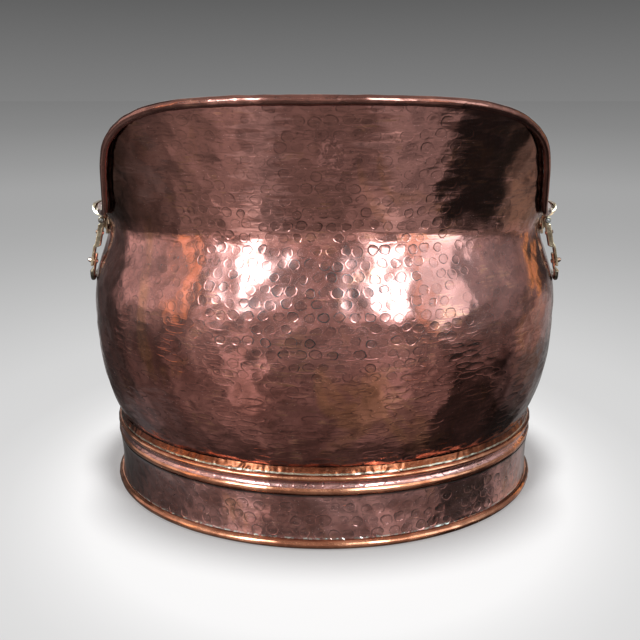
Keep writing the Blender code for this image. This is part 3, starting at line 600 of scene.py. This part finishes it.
def wall_marks(f, tone, deep, marks, tarnish_and_shade, blotch, high):
    """Marks that are bold in the upper belly, and folds below: the tone, and the relief."""
    off_centre = f.axes()[0].math("ABSOLUTE") + blotch * 0.03
    bold = f.span(high, 0.15, 0.21, 0.15, 1.0) * f.span(high, 0.285, 0.315, 1.0, 0.45)
    bold = bold * f.span(off_centre, 0.095, 0.135, 1.0, 0.4)
    # Tarnish with painted shade and a painted darker reflection in the marks, strongest in the
    # middle of the front and back.
    middle_share = f.span(off_centre, 0.045, 0.085, 1.5, 0.9)
    tone = f.mix(tarnish_and_shade * bold * middle_share, tone, darker(deep, 0.28))
    folds, split = f.struck_rings(f.coords(scale=(1, 1, 3.4)), 46.0, 0.46)
    tone = f.mix(split * f.span(high, 0.17, 0.21, 0.65, 0.15), tone, darker(deep, 0.3))
    ragged = f.noise(f.coords(scale=(1, 1, 4)), 60.0, 1.0, 0.5, 0.4)
    relief = marks * bold * 1.4 + folds * f.span(high, 0.19, 0.225, 1.1, 0.0)
    return tone, relief + ragged * f.span(high, 0.25, 0.28, 0.4, 2.2)


def hammered_copper(name, deep, middle, warm, bright=None, pitch=MARK_PITCH, whole=False):
    """Old polished copper: brown blotches, warmer worn places, level rubbing and struck rings.

    Where a bright tone is given, the collar has it as painted light, with its painted darker
    reflections. A whole finish, the foot's, is struck all over and has solder at its base."""
    material, f = new_finish(name)
    plain = f.coords()
    rubbed = f.coords(scale=(1, 1, 11))
    blotch = f.noise(plain, 9.0, 4.0, 0.6, 0.4)
    patch = f.noise(plain, 38.0, 3.0, 0.6, 0.8)
    speck = f.noise(plain, 260.0, 2.0, 0.6)
    streak = f.noise(rubbed, 55.0, 5.0, 0.65)
    fine = f.noise(rubbed, 190.0, 3.0, 0.7)
    x, _, z = f.axes()
    high = z + patch * 0.05
    above = f.span(z + patch * 0.02, 0.252, 0.272)
    torn = x + (f.noise(f.coords(scale=(0.6, 0.6, 6)), 34.0, 3.0, 0.6) - 0.5) * 0.09

    tone = f.mix(f.span(blotch * 0.65 + patch * 0.35, 0.40, 0.60), deep, middle)
    if bright:
        tone = collar_tones(f, tone, bright, above, torn, blotch, patch)
    gold = f.noise(f.coords(scale=(1, 1, 0.45)), 15.0, 4.0, 0.6, 0.8)
    tone = f.mix(f.span(gold, 0.57, 0.68, 0.0, 0.42), tone, (0.66, 0.27, 0.115))
    worn = f.span(patch * 0.5 + streak * 0.5, 0.55, 0.66, 0.0, 0.6)
    tone = f.mix(worn, tone, warm)
    scratch = f.span(fine, 0.62, 0.74, 0.0, 0.16)
    tone = f.mix(scratch, tone, tuple(min(1.0, 1.35 * c) for c in warm))
    dark_reflections = ()
    if bright:
        tone, dark_reflections = end_dark_reflections(f, tone, above, torn, blotch, patch)
    line = f.span(streak, 0.60, 0.72, 0.0, 0.25) + f.span(speck, 0.62, 0.72, 0.0, 0.4)
    tone = f.mix(line, tone, darker(deep, 0.35))

    marks, tarnish_and_shade = f.struck_rows(pitch, 0.9 * pitch)
    if whole:
        tone, relief = band_marks(f, tone, deep, marks, tarnish_and_shade, patch, speck)
        clear = 0.9
        # Painted shade: darkening in the crease under the lower bead's shoulder and in the cove's
        # crease.
        crease_shade = f.span(z, *SHOULDER_SHADE, 0.0, 0.85) * f.span(z, *SHOULDER_BRIGHT, 1.0, 0.0)
        crease_shade = crease_shade + f.span((z - COVE_CREASE).math("ABSOLUTE"), 0.0003, 0.0010, 0.8, 0.0)
    else:
        tone, relief = wall_marks(f, tone, deep, marks, tarnish_and_shade, blotch, high)
        clear = f.span(high, 0.17, 0.21, 0.2, 1.0) * f.span(high, 0.26, 0.28, 1.0, 0.3)
        clear = clear * f.span(x.math("ABSOLUTE"), 0.13, 0.19, 1.0, 0.1)
        for dark_reflection in dark_reflections:
            clear = clear * (1 - dark_reflection)
        # Painted shade: darkening along the wall's foot, in the crease beside the solder.
        crease_shade = f.span(z, *WALL_FOOT_SHADE, 0.75, 0.0)
    tone = f.mix(crease_shade, tone, PAINTED_SHADE)
    rough = 0.055 + streak * 0.08 + blotch * 0.05
    relief = relief + streak * 0.17 + fine * 0.10 + speck * 0.10
    f.metal(tone, rough, relief, 0.10 * MM, {"Coat Weight": clear, "Coat Roughness": 0.28})
    return material


def dulled_copper():
    """The inside, dulled and browned by years of coal. It is darker towards the bottom."""
    material, f = new_finish("dulled_copper")
    plain = f.coords()
    blotch = f.noise(plain, 14.0, 5.0, 0.65, 0.5)
    speck = f.noise(plain, 220.0, 3.0, 0.65)
    low = f.span(f.height() + blotch * 0.08, 0.10, 0.26, 1.0, 0.0)
    tone = f.mix(f.span(blotch, 0.38, 0.62), (0.20, 0.105, 0.082), (0.34, 0.185, 0.145))
    tone = f.mix(low * 0.55, tone, (0.075, 0.058, 0.050))
    tone = f.mix(f.span(speck, 0.58, 0.72, 0.0, 0.5), tone, (0.05, 0.042, 0.038))
    f.metal(tone, 0.30 + blotch * 0.16 + low * 0.12, blotch * 0.6 + speck * 0.4, 0.10 * MM)
    return material


def bright_copper(name, colour, dark):
    """Smooth copper kept bright, with painted shade in the creases beside the lower bead and along
    the ground.
    """
    material, f = new_finish(name)
    plain = f.coords()
    patch = f.noise(plain, 45.0, 4.0, 0.6, 0.6)
    speck = f.noise(plain, 420.0, 2.0, 0.6)
    tone = f.mix(f.span(patch, 0.36, 0.64), dark, colour)
    tone = f.mix(f.span(speck, 0.60, 0.75, 0.0, 0.4), tone, darker(dark, 0.4))
    z = f.height()
    # Painted shade in the creases above and below the lower bead, and along the ground.
    bead_crease_shade = f.span((z - UNDER_BEAD).math("ABSOLUTE"), 0.0006, 0.0018, 0.8, 0.0)
    bead_crease_shade = bead_crease_shade + f.span((z - OVER_BEAD).math("ABSOLUTE"), 0.0004, 0.0012, 0.5, 0.0)
    tone = f.mix(bead_crease_shade + f.span(z, *GROUND_SHADE, 0.6, 0.0), tone, PAINTED_SHADE)
    f.metal(tone, 0.12 + patch * 0.12, patch * 0.6 + speck * 0.4, 0.05 * MM,
            {"Coat Weight": 0.6, "Coat Roughness": 0.16})
    return material


def aged_brass():
    """Pale worn brass with dark specks, darker towards the handles' lower ends."""
    material, f = new_finish("aged_brass")
    plain = f.coords()
    patch = f.noise(plain, 90.0, 4.0, 0.6, 0.5)
    speck = f.noise(plain, 700.0, 2.0, 0.6)
    tone = f.mix(f.span(patch, 0.38, 0.62), (0.36, 0.27, 0.18), (0.88, 0.72, 0.52))
    tone = f.mix(f.span(speck, 0.60, 0.72, 0.0, 0.6), tone, (0.07, 0.06, 0.045))
    low = f.span(f.height() + patch * 0.01, *HANDLE_ENDS, 0.65, 0.0)
    tone = f.mix(low, tone, (0.12, 0.11, 0.085))
    f.metal(tone, 0.07 + patch * 0.14, patch * 0.6 + speck * 0.4, 0.04 * MM,
            {"Coat Weight": 0.3, "Coat Roughness": 0.1})
    return material


def drawn_wire():
    material, f = new_finish("drawn_wire")
    plain = f.coords()
    patch = f.noise(plain, 160.0, 4.0, 0.6)
    tone = f.mix(f.span(patch, 0.40, 0.62), (0.16, 0.13, 0.11), (0.36, 0.35, 0.34))
    f.metal(tone, 0.34 + patch * 0.16, patch, 0.05 * MM)
    return material


def grey_solder():
    """Solder under a skin of copper, with a pale line where it meets the bead."""
    material, f = new_finish("grey_solder")
    plain = f.coords()
    patch = f.noise(plain, 55.0, 4.0, 0.65, 0.8)
    fleck = f.noise(plain, 300.0, 3.0, 0.65)
    drawn = f.noise(f.coords(scale=(1, 1, 9)), 150.0, 4.0, 0.65)
    z = f.height()
    tone = f.mix(f.span(patch, 0.40, 0.62), (0.14, 0.038, 0.017), (0.36, 0.104, 0.050))
    # Darker along the top, where the solder meets the wall.
    top = f.span(z + fleck * 0.002, *SOLDER_TOP, 0.0, 0.6)
    tone = f.mix(top, tone, (0.10, 0.028, 0.014))
    away = (z - SOLDER_LINE + (patch - 0.5) * 0.002).math("ABSOLUTE")
    line = f.span(away, 0.0003, 0.0010, 1.0, 0.0) * f.span(fleck, 0.30, 0.46, 0.35, 1.0)
    tone = f.mix(line * 0.85, tone, (0.58, 0.50, 0.40))
    tone = f.mix(f.span(drawn, 0.56, 0.66, 0.0, 0.2), tone, (0.62, 0.33, 0.22))
    f.metal(tone, 0.17 + patch * 0.10, patch * 0.4 + fleck * 0.15 + drawn * 0.2, 0.12 * MM)
    return material


COPPER = hammered_copper("hammered_copper", (0.33, 0.120, 0.098), (0.53, 0.208, 0.176),
                         (0.72, 0.33, 0.20), bright=(0.64, 0.275, 0.228))
BAND_COPPER = hammered_copper("band_copper", (0.38, 0.145, 0.120), (0.84, 0.40, 0.355),
                              (0.74, 0.36, 0.24), pitch=BAND_MARK_PITCH, whole=True)
ROLL_COPPER = hammered_copper("roll_copper", (0.26, 0.10, 0.075), (0.50, 0.21, 0.165),
                              (0.70, 0.34, 0.23))
DULLED = dulled_copper()
BRIGHT = bright_copper("bright_copper", (0.80, 0.33, 0.185), (0.50, 0.170, 0.085))
RIVET = bright_copper("rivet_copper", (0.74, 0.50, 0.40), (0.40, 0.25, 0.19))
BRASS = aged_brass()
WIRE = drawn_wire()
SOLDER = grey_solder()


# ---------------------------------------------------------------- the copper bin


ANGLES = arc_angles(COLUMNS)[None, :]


def wall_rows(heights):
    heights = np.asarray(heights)[:, None]
    rows = plan(ANGLES, wall_inset(heights), heights)
    rows[..., 2] += neck_lift(ANGLES, heights)
    return rows


def collar_rows(climbs):
    """Rows of the collar from the neck up to the inner side of the roll."""
    climbs = np.asarray(climbs)[:, None, None]
    foot = wall_rows([NECK_HEIGHT])[0]
    head = rim_offset(ANGLES[0], math.pi, ROLL_INNER)
    share = np.concatenate([np.repeat(climbs ** COLLAR_CURVE_POWER, 2, -1), climbs], -1)
    return foot + (head - foot) * share


def struck(rows):
    """The wall's outer rows after planishing: round marks near the neck, long dents below."""
    height = rows[..., 2] + wobble(rows, *WOBBLE["hammering's edge"])
    upper = fade(height, 160 * MM, 195 * MM) * (1 + wobble(rows, *WOBBLE["hammering's force"]))
    collar = fade(rows[..., 2], 246 * MM, 262 * MM)
    round_marks = hammer(rows, **HAMMERING["upper belly"])
    close_marks = hammer(rows, **HAMMERING["collar"])
    facets = hammer(rows, **HAMMERING["facets"])
    dents = hammer(rows, **HAMMERING["long dents"])
    amount = upper * (1 - collar) * round_marks + collar * close_marks
    amount = amount + (1 - 0.5 * np.clip(upper, 0, 1)) * facets
    amount = amount + (1 - 0.85 * np.clip(upper, 0, 1)) * dents
    slow = wobble(rows, *WOBBLE["wall"]) + wobble(rows, *WOBBLE["wall, closer"])
    return push(rows, amount + slow)


def wall_ring(name, outer, normals, inner, inner_normals, foot=None, foot_in=None):
    """One closed ring of the wall, its two skins shaded as parts of the whole."""
    rows = np.concatenate([outer, inner[::-1]])
    facing = np.concatenate([normals, -inner_normals[::-1]])
    if foot is not None:
        rows = np.concatenate([foot, rows, foot_in])
        level = np.zeros((3,) + rows.shape[1:])
        level[..., 2] = 1.0
        facing = np.concatenate([-level, facing, level])
    ring = bent_grid(name, rows, normals=facing)
    dress(ring, "scuttle", COPPER, "hammered_copper", "body_shell")
    dull_inside(ring)


def dull_inside(thing):
    """Give the faces that look into the bin the dulled finish."""
    thing.data.materials.append(DULLED)
    count = len(thing.data.polygons)
    centre, facing = np.zeros(count * 3, np.float32), np.zeros(count * 3, np.float32)
    thing.data.polygons.foreach_get("center", centre)
    thing.data.polygons.foreach_get("normal", facing)
    centre, facing = centre.reshape(-1, 3), facing.reshape(-1, 3)
    inward = centre[:, 0] * facing[:, 0] * DEPTH_SHARE ** 2 + centre[:, 1] * facing[:, 1]
    thing.data.polygons.foreach_set("material_index", (inward < 0).astype(np.int32))
    thing.data.update()


def make_wall():
    """The hammered wall in three rings, with a plainer skin inside and its flange below."""
    heights = np.linspace(LOWER_HEIGHT, NECK_HEIGHT, WALL_ROWS)
    climbs = np.linspace(0, 1, COLLAR_ROWS)
    smooth = np.concatenate([wall_rows(heights), collar_rows(climbs[1:])])
    outer = struck(smooth)
    inside = smooth[::INNER_STEP]
    inside = push(inside, -SHEET + wobble(inside, *WOBBLE["wall"]))
    out_normals, in_normals = outward_of(outer), outward_of(inside)
    flange = SOCKET_IN + FLANGE
    foot = np.concatenate([plan(ANGLES, flange, SOCKET_FLOOR),
                           plan(ANGLES, SOCKET_IN, SOCKET_FLOOR),
                           plan(ANGLES, SOCKET_IN, SOCKET_TOP)])
    foot_in = np.concatenate([plan(ANGLES, SOCKET_IN + SHEET, SOCKET_TOP),
                              plan(ANGLES, SOCKET_IN + SHEET, SOCKET_FLOOR + SHEET),
                              plan(ANGLES, flange, SOCKET_FLOOR + SHEET)])
    for name, (low, high) in WALL_CUTS.items():
        top = len(outer) if name == "collar" else high + 1
        inner = slice(low // INNER_STEP, high // INNER_STEP + 1)
        skins = (outer[low:top], out_normals[low:top], inside[inner], in_normals[inner])
        if name == "lower_belly":
            wall_ring(name, *skins, foot, foot_in)
        else:
            wall_ring(name, *skins)


def make_roll():
    """The rim rolled over its wire."""
    outer = [rim_offset(ANGLES, turn, ROLL_OUTER) for turn in
             np.linspace(math.pi, -math.pi / 2, 19)]
    inner = [rim_offset(ANGLES, turn, ROLL_INNER) for turn in
             np.linspace(-math.pi / 2, math.pi, 13)]
    rows = np.concatenate(outer)
    rows = push(rows, -wobble(rows, *WOBBLE["roll"]) - hammer(rows, **HAMMERING["roll"]))
    grid = np.concatenate([rows, *inner])
    dress(bent_grid("rim_roll", grid), "scuttle", ROLL_COPPER, "hammered_copper")
    turns = np.linspace(0, 2 * math.pi, 13)[:-1]
    wire = np.concatenate([rim_offset(ANGLES[:, ::3], turn, WIRE_RADIUS) for turn in turns])
    dress(bent_grid("rim_core", wire), "scuttle", WIRE, "rim_steel", "rim_wire")


def make_foot():
    """The band with its larger marks, and the three beads."""
    heights = np.linspace(BAND_BOTTOM, BAND_SHOULDER + BAND_LAP, BAND_ROWS)[:, None]
    away = (heights - BAND_MIDDLE) / (BAND_SHOULDER - BAND_MIDDLE)
    face = plan(ANGLES, BAND_IN + BAND_WAIST * (1 - away ** 2), heights)
    edge = np.clip(np.minimum(heights - BAND_BOTTOM, heights[-1] - heights) / BAND_EDGE, 0, 1)
    marks = hammer(face, **HAMMERING["band"])
    marks = marks + hammer(face, **HAMMERING["band facets"])
    face = push(face, edge * (marks + wobble(face, *WOBBLE["band"])))
    neck = [plan(ANGLES, inset * MM, height * MM) for inset, height in COVE]
    back = [plan(ANGLES, BAND_NECK_IN + SHEET, height) for height in BACK_OF_COVE]
    back += [plan(ANGLES, BAND_IN + BAND_WAIST * (1 - away ** 2) + SHEET, height)
             for away, height in BACK_OF_BAND]
    dress(bent_grid("foot_band_skin", np.concatenate([face, *neck, *back])), "scuttle",
          BAND_COPPER, "hammered_copper", "foot_band")
    for name, row in BEADS.items():
        bead(name, *row)


def bead(name, node, inset, height, radius, wall):
    """A round bead on the oval, a little uneven, and cut off flat at the ground and the wall."""
    turns = np.linspace(0, 2 * math.pi, BEAD_TURNS + 1)[:-1][:, None] + math.pi
    across = np.minimum(inset * MM - radius * MM * np.cos(turns), wall * MM)
    up = np.maximum(height * MM + radius * MM * np.sin(turns), 0.0)
    rows = plan(ANGLES, across, up)
    uneven = wobble(rows, *WOBBLE["bead"]) + hammer(rows, **HAMMERING["bead"])
    uneven = uneven * fade(rows[..., 2], 0.3 * MM, 1.5 * MM)
    dress(bent_grid(name, push(rows, uneven)), "scuttle", BRIGHT, "bright_copper", node)


def make_solder():
    """The run of solder: a lumpy fillet between the upper bead and the wall."""
    rows = np.concatenate([plan(ANGLES, inset * MM, height * MM)
                           for inset, height in SOLDER_SECTION])
    lump = wobble(rows, *WOBBLE["solder"]) + wobble(rows, *WOBBLE["solder, closer"])
    sunk = np.sqrt(lump ** 2 + SOLDER_LEAST ** 2) * np.array(SOLDER_FREE)[:, None]
    dress(bent_grid("solder_run", push(rows, -sunk), crease=80), "scuttle",
          SOLDER, "solder", "solder_seam")


def make_floor_plate():
    """The bin's flat floor, lightly beaten, lying on the wall's flange."""
    shares = np.linspace(1, 0, BASE_PLATE_ROWS)[:, None]
    edge = plan(ANGLES[:, ::3], SOCKET_IN + SHEET + FIT_GAP, 0.0)
    top = np.array([edge[0] * share for share in shares[:, 0]])
    top[..., 2] = BASE_PLATE_TOP
    beaten = hammer(top, **HAMMERING["base plate"]) * 0.6 - 0.2 * MM
    top = push(top, fade(1 - shares, 0.02, 0.06) * beaten)
    top[-1] = top[-1].mean(axis=0)
    bottom = np.stack([edge[0] * 0, edge[0]])
    bottom[..., 2] = BASE_PLATE_BOTTOM
    dress(bent_grid("bin_floor", np.concatenate([top, bottom])), "scuttle", DULLED,
          "hammered_copper", "base_plate")


# ---------------------------------------------------------------- the brass handles


PLATE_ROUNDING = 0.5 * MM
ARM_VOXEL = 0.35 * MM


def loose_copy(node, name):
    """A welded copy of a solid, left in edit mode."""
    source = frame["nodes"][node]
    only(source)
    thing = source.copy()
    thing.data = source.data.copy()
    for key in list(thing.keys()):
        del thing[key]
    thing.parent = None
    thing.name = name
    thing.data.name = name
    bpy.context.scene.collection.objects.link(thing)
    only(thing)
    bpy.ops.object.mode_set(mode="EDIT")
    bpy.ops.mesh.select_all(action="SELECT")
    bpy.ops.mesh.remove_doubles(threshold=WELD)
    return thing


def change(thing, kind, **settings):
    """Add a modifier with these settings and apply it."""
    modifier = thing.modifiers.new(kind.lower(), kind)
    for key, value in settings.items():
        setattr(modifier, key, value)
    bpy.ops.object.modifier_apply(modifier=modifier.name)


def refined(node, name, body):
    """A copy of a brass solid with its flat faces joined and its edges rounded over."""
    thing = loose_copy(node, name)
    bpy.ops.mesh.dissolve_limited(angle_limit=math.radians(3))
    bpy.ops.object.mode_set(mode="OBJECT")
    change(thing, "BEVEL", width=PLATE_ROUNDING, segments=3, limit_method="ANGLE",
           angle_limit=math.radians(32), use_clamp_overlap=True)
    bpy.ops.object.shade_smooth_by_angle(angle=math.radians(45))
    dress(thing, body, BRASS, "brass", node)


def softened(node, name, body):
    """A copy of a brass solid with its edges worn round, as years of handling leave them."""
    thing = loose_copy(node, name)
    bpy.ops.object.mode_set(mode="OBJECT")
    change(thing, "REMESH", mode="VOXEL", voxel_size=ARM_VOXEL)
    change(thing, "SMOOTH", factor=0.5, iterations=9)
    bpy.ops.object.shade_smooth_by_angle(angle=math.radians(180))
    dress(thing, body, BRASS, "brass", node)


def make_handles():
    """The brass plates and arms. The grips, pins and rivets stay as the solids are."""
    for end in ("left", "right"):
        refined(end + "_handle_plate", end + "_plate", "scuttle")
        for label in ("front", "back"):
            base = end + "_" + label
            softened(base + "_strap", base + "_arm", end + "_handle")


make_wall()
make_roll()
make_foot()
make_solder()
make_floor_plate()
make_handles()

FINISH_OF = {"brass": BRASS, "rivet_copper": RIVET, "rim_steel": WIRE, "solder": SOLDER,
             "hammered_copper": COPPER, "bright_copper": BRIGHT}
SLOT_OF = {row["node"]: row["material_slot"] for row in frame["record"]["subparts"]}
for node, thing in frame["nodes"].items():
    if not thing.hide_render:
        thing.data.materials.clear()
        thing.data.materials.append(FINISH_OF[SLOT_OF[node]])


# ---------------------------------------------------------------- studio


# The camera fitted to the photograph, and the studio round the scuttle.
CAMERA_PLACE = (-0.0040, -0.7254, 0.3540)
CAMERA_TILT = math.radians(74)
LENS = 43.875
SENSOR_WIDTH = 36

FLOOR_SIZE = 120
FLOOR_DEPTH_SHARE = 0.74
# The floor's grey at each distance, as distance / (distance + 1 m): a painted pool of light,
# palest near the scuttle.
FLOOR_POOL_LEVELS = [(share, (level,) * 3) for share, level in (
    (0.160, 1.00), (0.190, 0.98), (0.203, 0.90), (0.216, 0.83), (0.231, 0.77), (0.254, 0.72),
    (0.306, 0.705), (0.415, 0.605), (0.524, 0.515), (0.655, 0.405), (0.773, 0.315),
    (0.892, 0.24), (0.99, 0.20))]

LAMP_SIZE = 0.5
LAMP_POWER = 71.0
LAMP_PLACE = (0, -0.30, 3.0)


def make_camera():
    data = bpy.data.cameras.new("camera")
    data.sensor_width = SENSOR_WIDTH
    data.lens = LENS
    camera = bpy.data.objects.new("camera", data)
    bpy.context.scene.collection.objects.link(camera)
    camera.location = CAMERA_PLACE
    camera.rotation_euler = (CAMERA_TILT, 0, 0)
    bpy.context.scene.camera = camera


def ray(f, name):
    return f.add("ShaderNodeLightPath", out=name)


def make_floor():
    """A pale floor with a painted pool of light round the scuttle, which keeps its shadow.

    Metal doesn't mirror it: the sweep's levels, as the metal sees them, are in the world."""
    bpy.ops.object.select_all(action="DESELECT")
    bpy.ops.mesh.primitive_plane_add(size=FLOOR_SIZE)
    floor = bpy.context.active_object
    floor.name = "studio_floor"
    material, f = new_finish("studio_floor")
    x, y = f.axes()[:2]
    far = (x * x + y * y * FLOOR_DEPTH_SHARE).math("SQRT")
    # Painted pool of light: the floor's grey is palest near the scuttle and falls off with
    # distance.
    grey = f.add("ShaderNodeValToRGB", {"stops": FLOOR_POOL_LEVELS}, {"Fac": far / (far + 1.0)})
    lit = f.add("ShaderNodeBsdfDiffuse", {}, {"Color": grey})
    shown = f.add("ShaderNodeEmission", {}, {"Color": grey, "Strength": 1.0})
    seen = f.add("ShaderNodeMixShader", {}, {0: f.span(far, 0.3, 2.5, 0.30, 1.0), 1: lit,
                                             2: shown})
    clear = f.add("ShaderNodeBsdfTransparent")
    f.add_output(f.add("ShaderNodeMixShader", {}, {0: ray(f, "Is Glossy Ray"), 1: seen, 2: clear}))
    floor.data.materials.append(material)


# What polished metal sees, in degrees round from the front (plus is to the right) and up.
# The sweep's level at each elevation:
SWEEP = ((-90, 0.09), (-60, 0.09), (-55, 0.17), (-34, 0.21), (-18, 0.27), (-8, 0.33),
         (4, 0.46), (30, 0.45), (90, 0.40))
# Cards and lamps: left, right, low, high, soft edge, level added.
CARDS = {
    "left card": (-107, -60, -2, 42, 5, 0.26),
    "left lamp's glow": (-54, -22, -4, 46, 12, 0.55),
    "left lamp on the table": (-46, -29, -32, -11, 7, 0.50),
    "left lamp's trail": (-50, -24, -58, -28, 12, 0.12),
    "middle lamp's glow": (11, 43, -2, 46, 12, 0.55),
    "middle lamp on the table": (25, 39, -34, -13, 7, 0.15),
    "middle lamp's trail": (20, 44, -58, -28, 12, 0.07),
}
LAMPS = {
    "left lamp": (-41, -30, 8, 42, 8, 15.0),
    "middle lamp": (21, 30, 6, 42, 8, 15.0),
    "right strip": (46, 67, -2, 42, 4, 2.0),
    "right strip's fade": (58, 98, -3, 44, 18, 0.26),
    "left table": (-135, -84, -44, -31, 8, 0.11),
}
# Warm edges of the cards, in the same way.
WARM = {
    "left edge": (-70, -62, -6, 34, 2, 1.6),
    "right table": (98, 126, -25, -8, 6, 0.16),
    "middle edge": (41, 46, -8, 42, 2, 1.1),
    "right edge": (116, 124, -8, 26, 4, 1.2),
}
# Dark sides of the room: left, right, low, high, soft edge, share that is left.
SHADES = {
    "left corner": (-152, -110, -60, 45, 8, 0.24),
    "right corner": (114, 152, -8, 45, 12, 0.15),
    "low right corner": (92, 152, -62, -33, 8, 0.12),
    "beside the right strip": (66, 112, -16, 45, 4, 0.64),
    "under the left card": (-112, -70, -60, -9, 6, 0.62),
    "under the right strip": (56, 92, -62, -18, 9, 0.14),
}

ROOM_TINT = (1.0, 1.0, 0.98)
LAMP_TINT = (0.74, 1.0, 1.10)
WARM_TINT = (1.0, 0.62, 0.24)
FILL_LEVEL = 0.2
WHITE = (1, 1, 1, 1)
# The backdrop that the camera sees: its level, how it falls off upwards, and its darkest.
BACKDROP_LEVEL = 0.212
BACKDROP_FALL = -0.86
BACKDROP_DARKEST = 0.06


def sum_of(values):
    total = values[0]
    for value in values[1:]:
        total = total + value
    return total


def make_world():
    """A grey sweep to the camera, and to the metal a dim room with tall lamps and pale sides."""
    world = bpy.data.worlds.new("studio")
    bpy.context.scene.world = world
    world.use_nodes = True
    world.cycles.sampling_method = "NONE"
    f = Finish(world.node_tree)
    way = f.add("ShaderNodeTexCoord", out="Generated")
    x, y, z = f.split(way)
    backdrop = (z * BACKDROP_FALL + BACKDROP_LEVEL).math("MAXIMUM", BACKDROP_DARKEST)
    around = x.math("ARCTAN2", y * -1.0)
    up = z.math("ARCSINE")
    stops = [(elevation / 180 + 0.5, (level,) * 3) for elevation, level in SWEEP]
    room = f.add("ShaderNodeValToRGB", {"stops": stops}, {"Fac": up / math.pi + 0.5})

    def card(left, right, low, high, soft):
        """A patch of the room: 1 inside these angles and 0 outside, with soft edges."""
        left, right, low, high, soft = (math.radians(a) for a in (left, right, low, high, soft))
        across = f.span(around, left - soft / 2, left + soft / 2) * f.span(
            around, right - soft / 2, right + soft / 2, 1.0, 0.0)
        return across * f.span(up, low - soft / 2, low + soft / 2) * f.span(
            up, high - soft / 2, high + soft / 2, 1.0, 0.0)

    for *place, share in SHADES.values():
        room = room * (1 - card(*place) * (1 - share))
    room = sum_of([room] + [card(*place) * level for *place, level in CARDS.values()])
    lamps = sum_of([card(*place) * level for *place, level in LAMPS.values()])
    clutter = f.noise(way, 7.0, 4.0, 0.6)
    room = room * f.span(clutter, 0.36, 0.62, 0.55, 1.55)
    warm = sum_of([card(*place) * level for *place, level in WARM.values()])
    warm = warm * f.span(f.noise(way, 26.0, 3.0, 0.6), 0.42, 0.58, 0.25, 1.2)
    tint = f.mix(lamps / (lamps + room), ROOM_TINT, LAMP_TINT)
    tint = f.mix(warm / (lamps + room + warm), tint, WARM_TINT)
    glossy = f.add("ShaderNodeBackground", {}, {"Color": tint, "Strength": room + lamps + warm})
    camera = f.add("ShaderNodeBackground", {}, {"Color": WHITE, "Strength": backdrop})
    plain = f.add("ShaderNodeBackground", {}, {"Color": WHITE, "Strength": FILL_LEVEL})
    mirrored = ray(f, "Is Glossy Ray") * (1 - ray(f, "Diffuse Depth").math("MINIMUM", 1.0))
    lit = f.add("ShaderNodeMixShader", {}, {0: mirrored, 1: plain, 2: glossy})
    seen = f.add("ShaderNodeMixShader", {}, {0: ray(f, "Is Camera Ray"), 1: lit, 2: camera})
    f.add_output(seen, "ShaderNodeOutputWorld")


def make_top_lamp():
    """A wide lamp overhead, for the soft shadow under the belly. Metal doesn't mirror it."""
    data = bpy.data.lights.new("top_lamp", "AREA")
    data.shape = "DISK"
    data.size = LAMP_SIZE
    data.energy = LAMP_POWER
    lamp = bpy.data.objects.new("top_lamp", data)
    bpy.context.scene.collection.objects.link(lamp)
    lamp.location = LAMP_PLACE
    lamp.visible_glossy = False
    lamp.visible_camera = False


make_top_lamp()
make_camera()
make_floor()
make_world()
bpy.context.scene.view_settings.view_transform = "Standard"
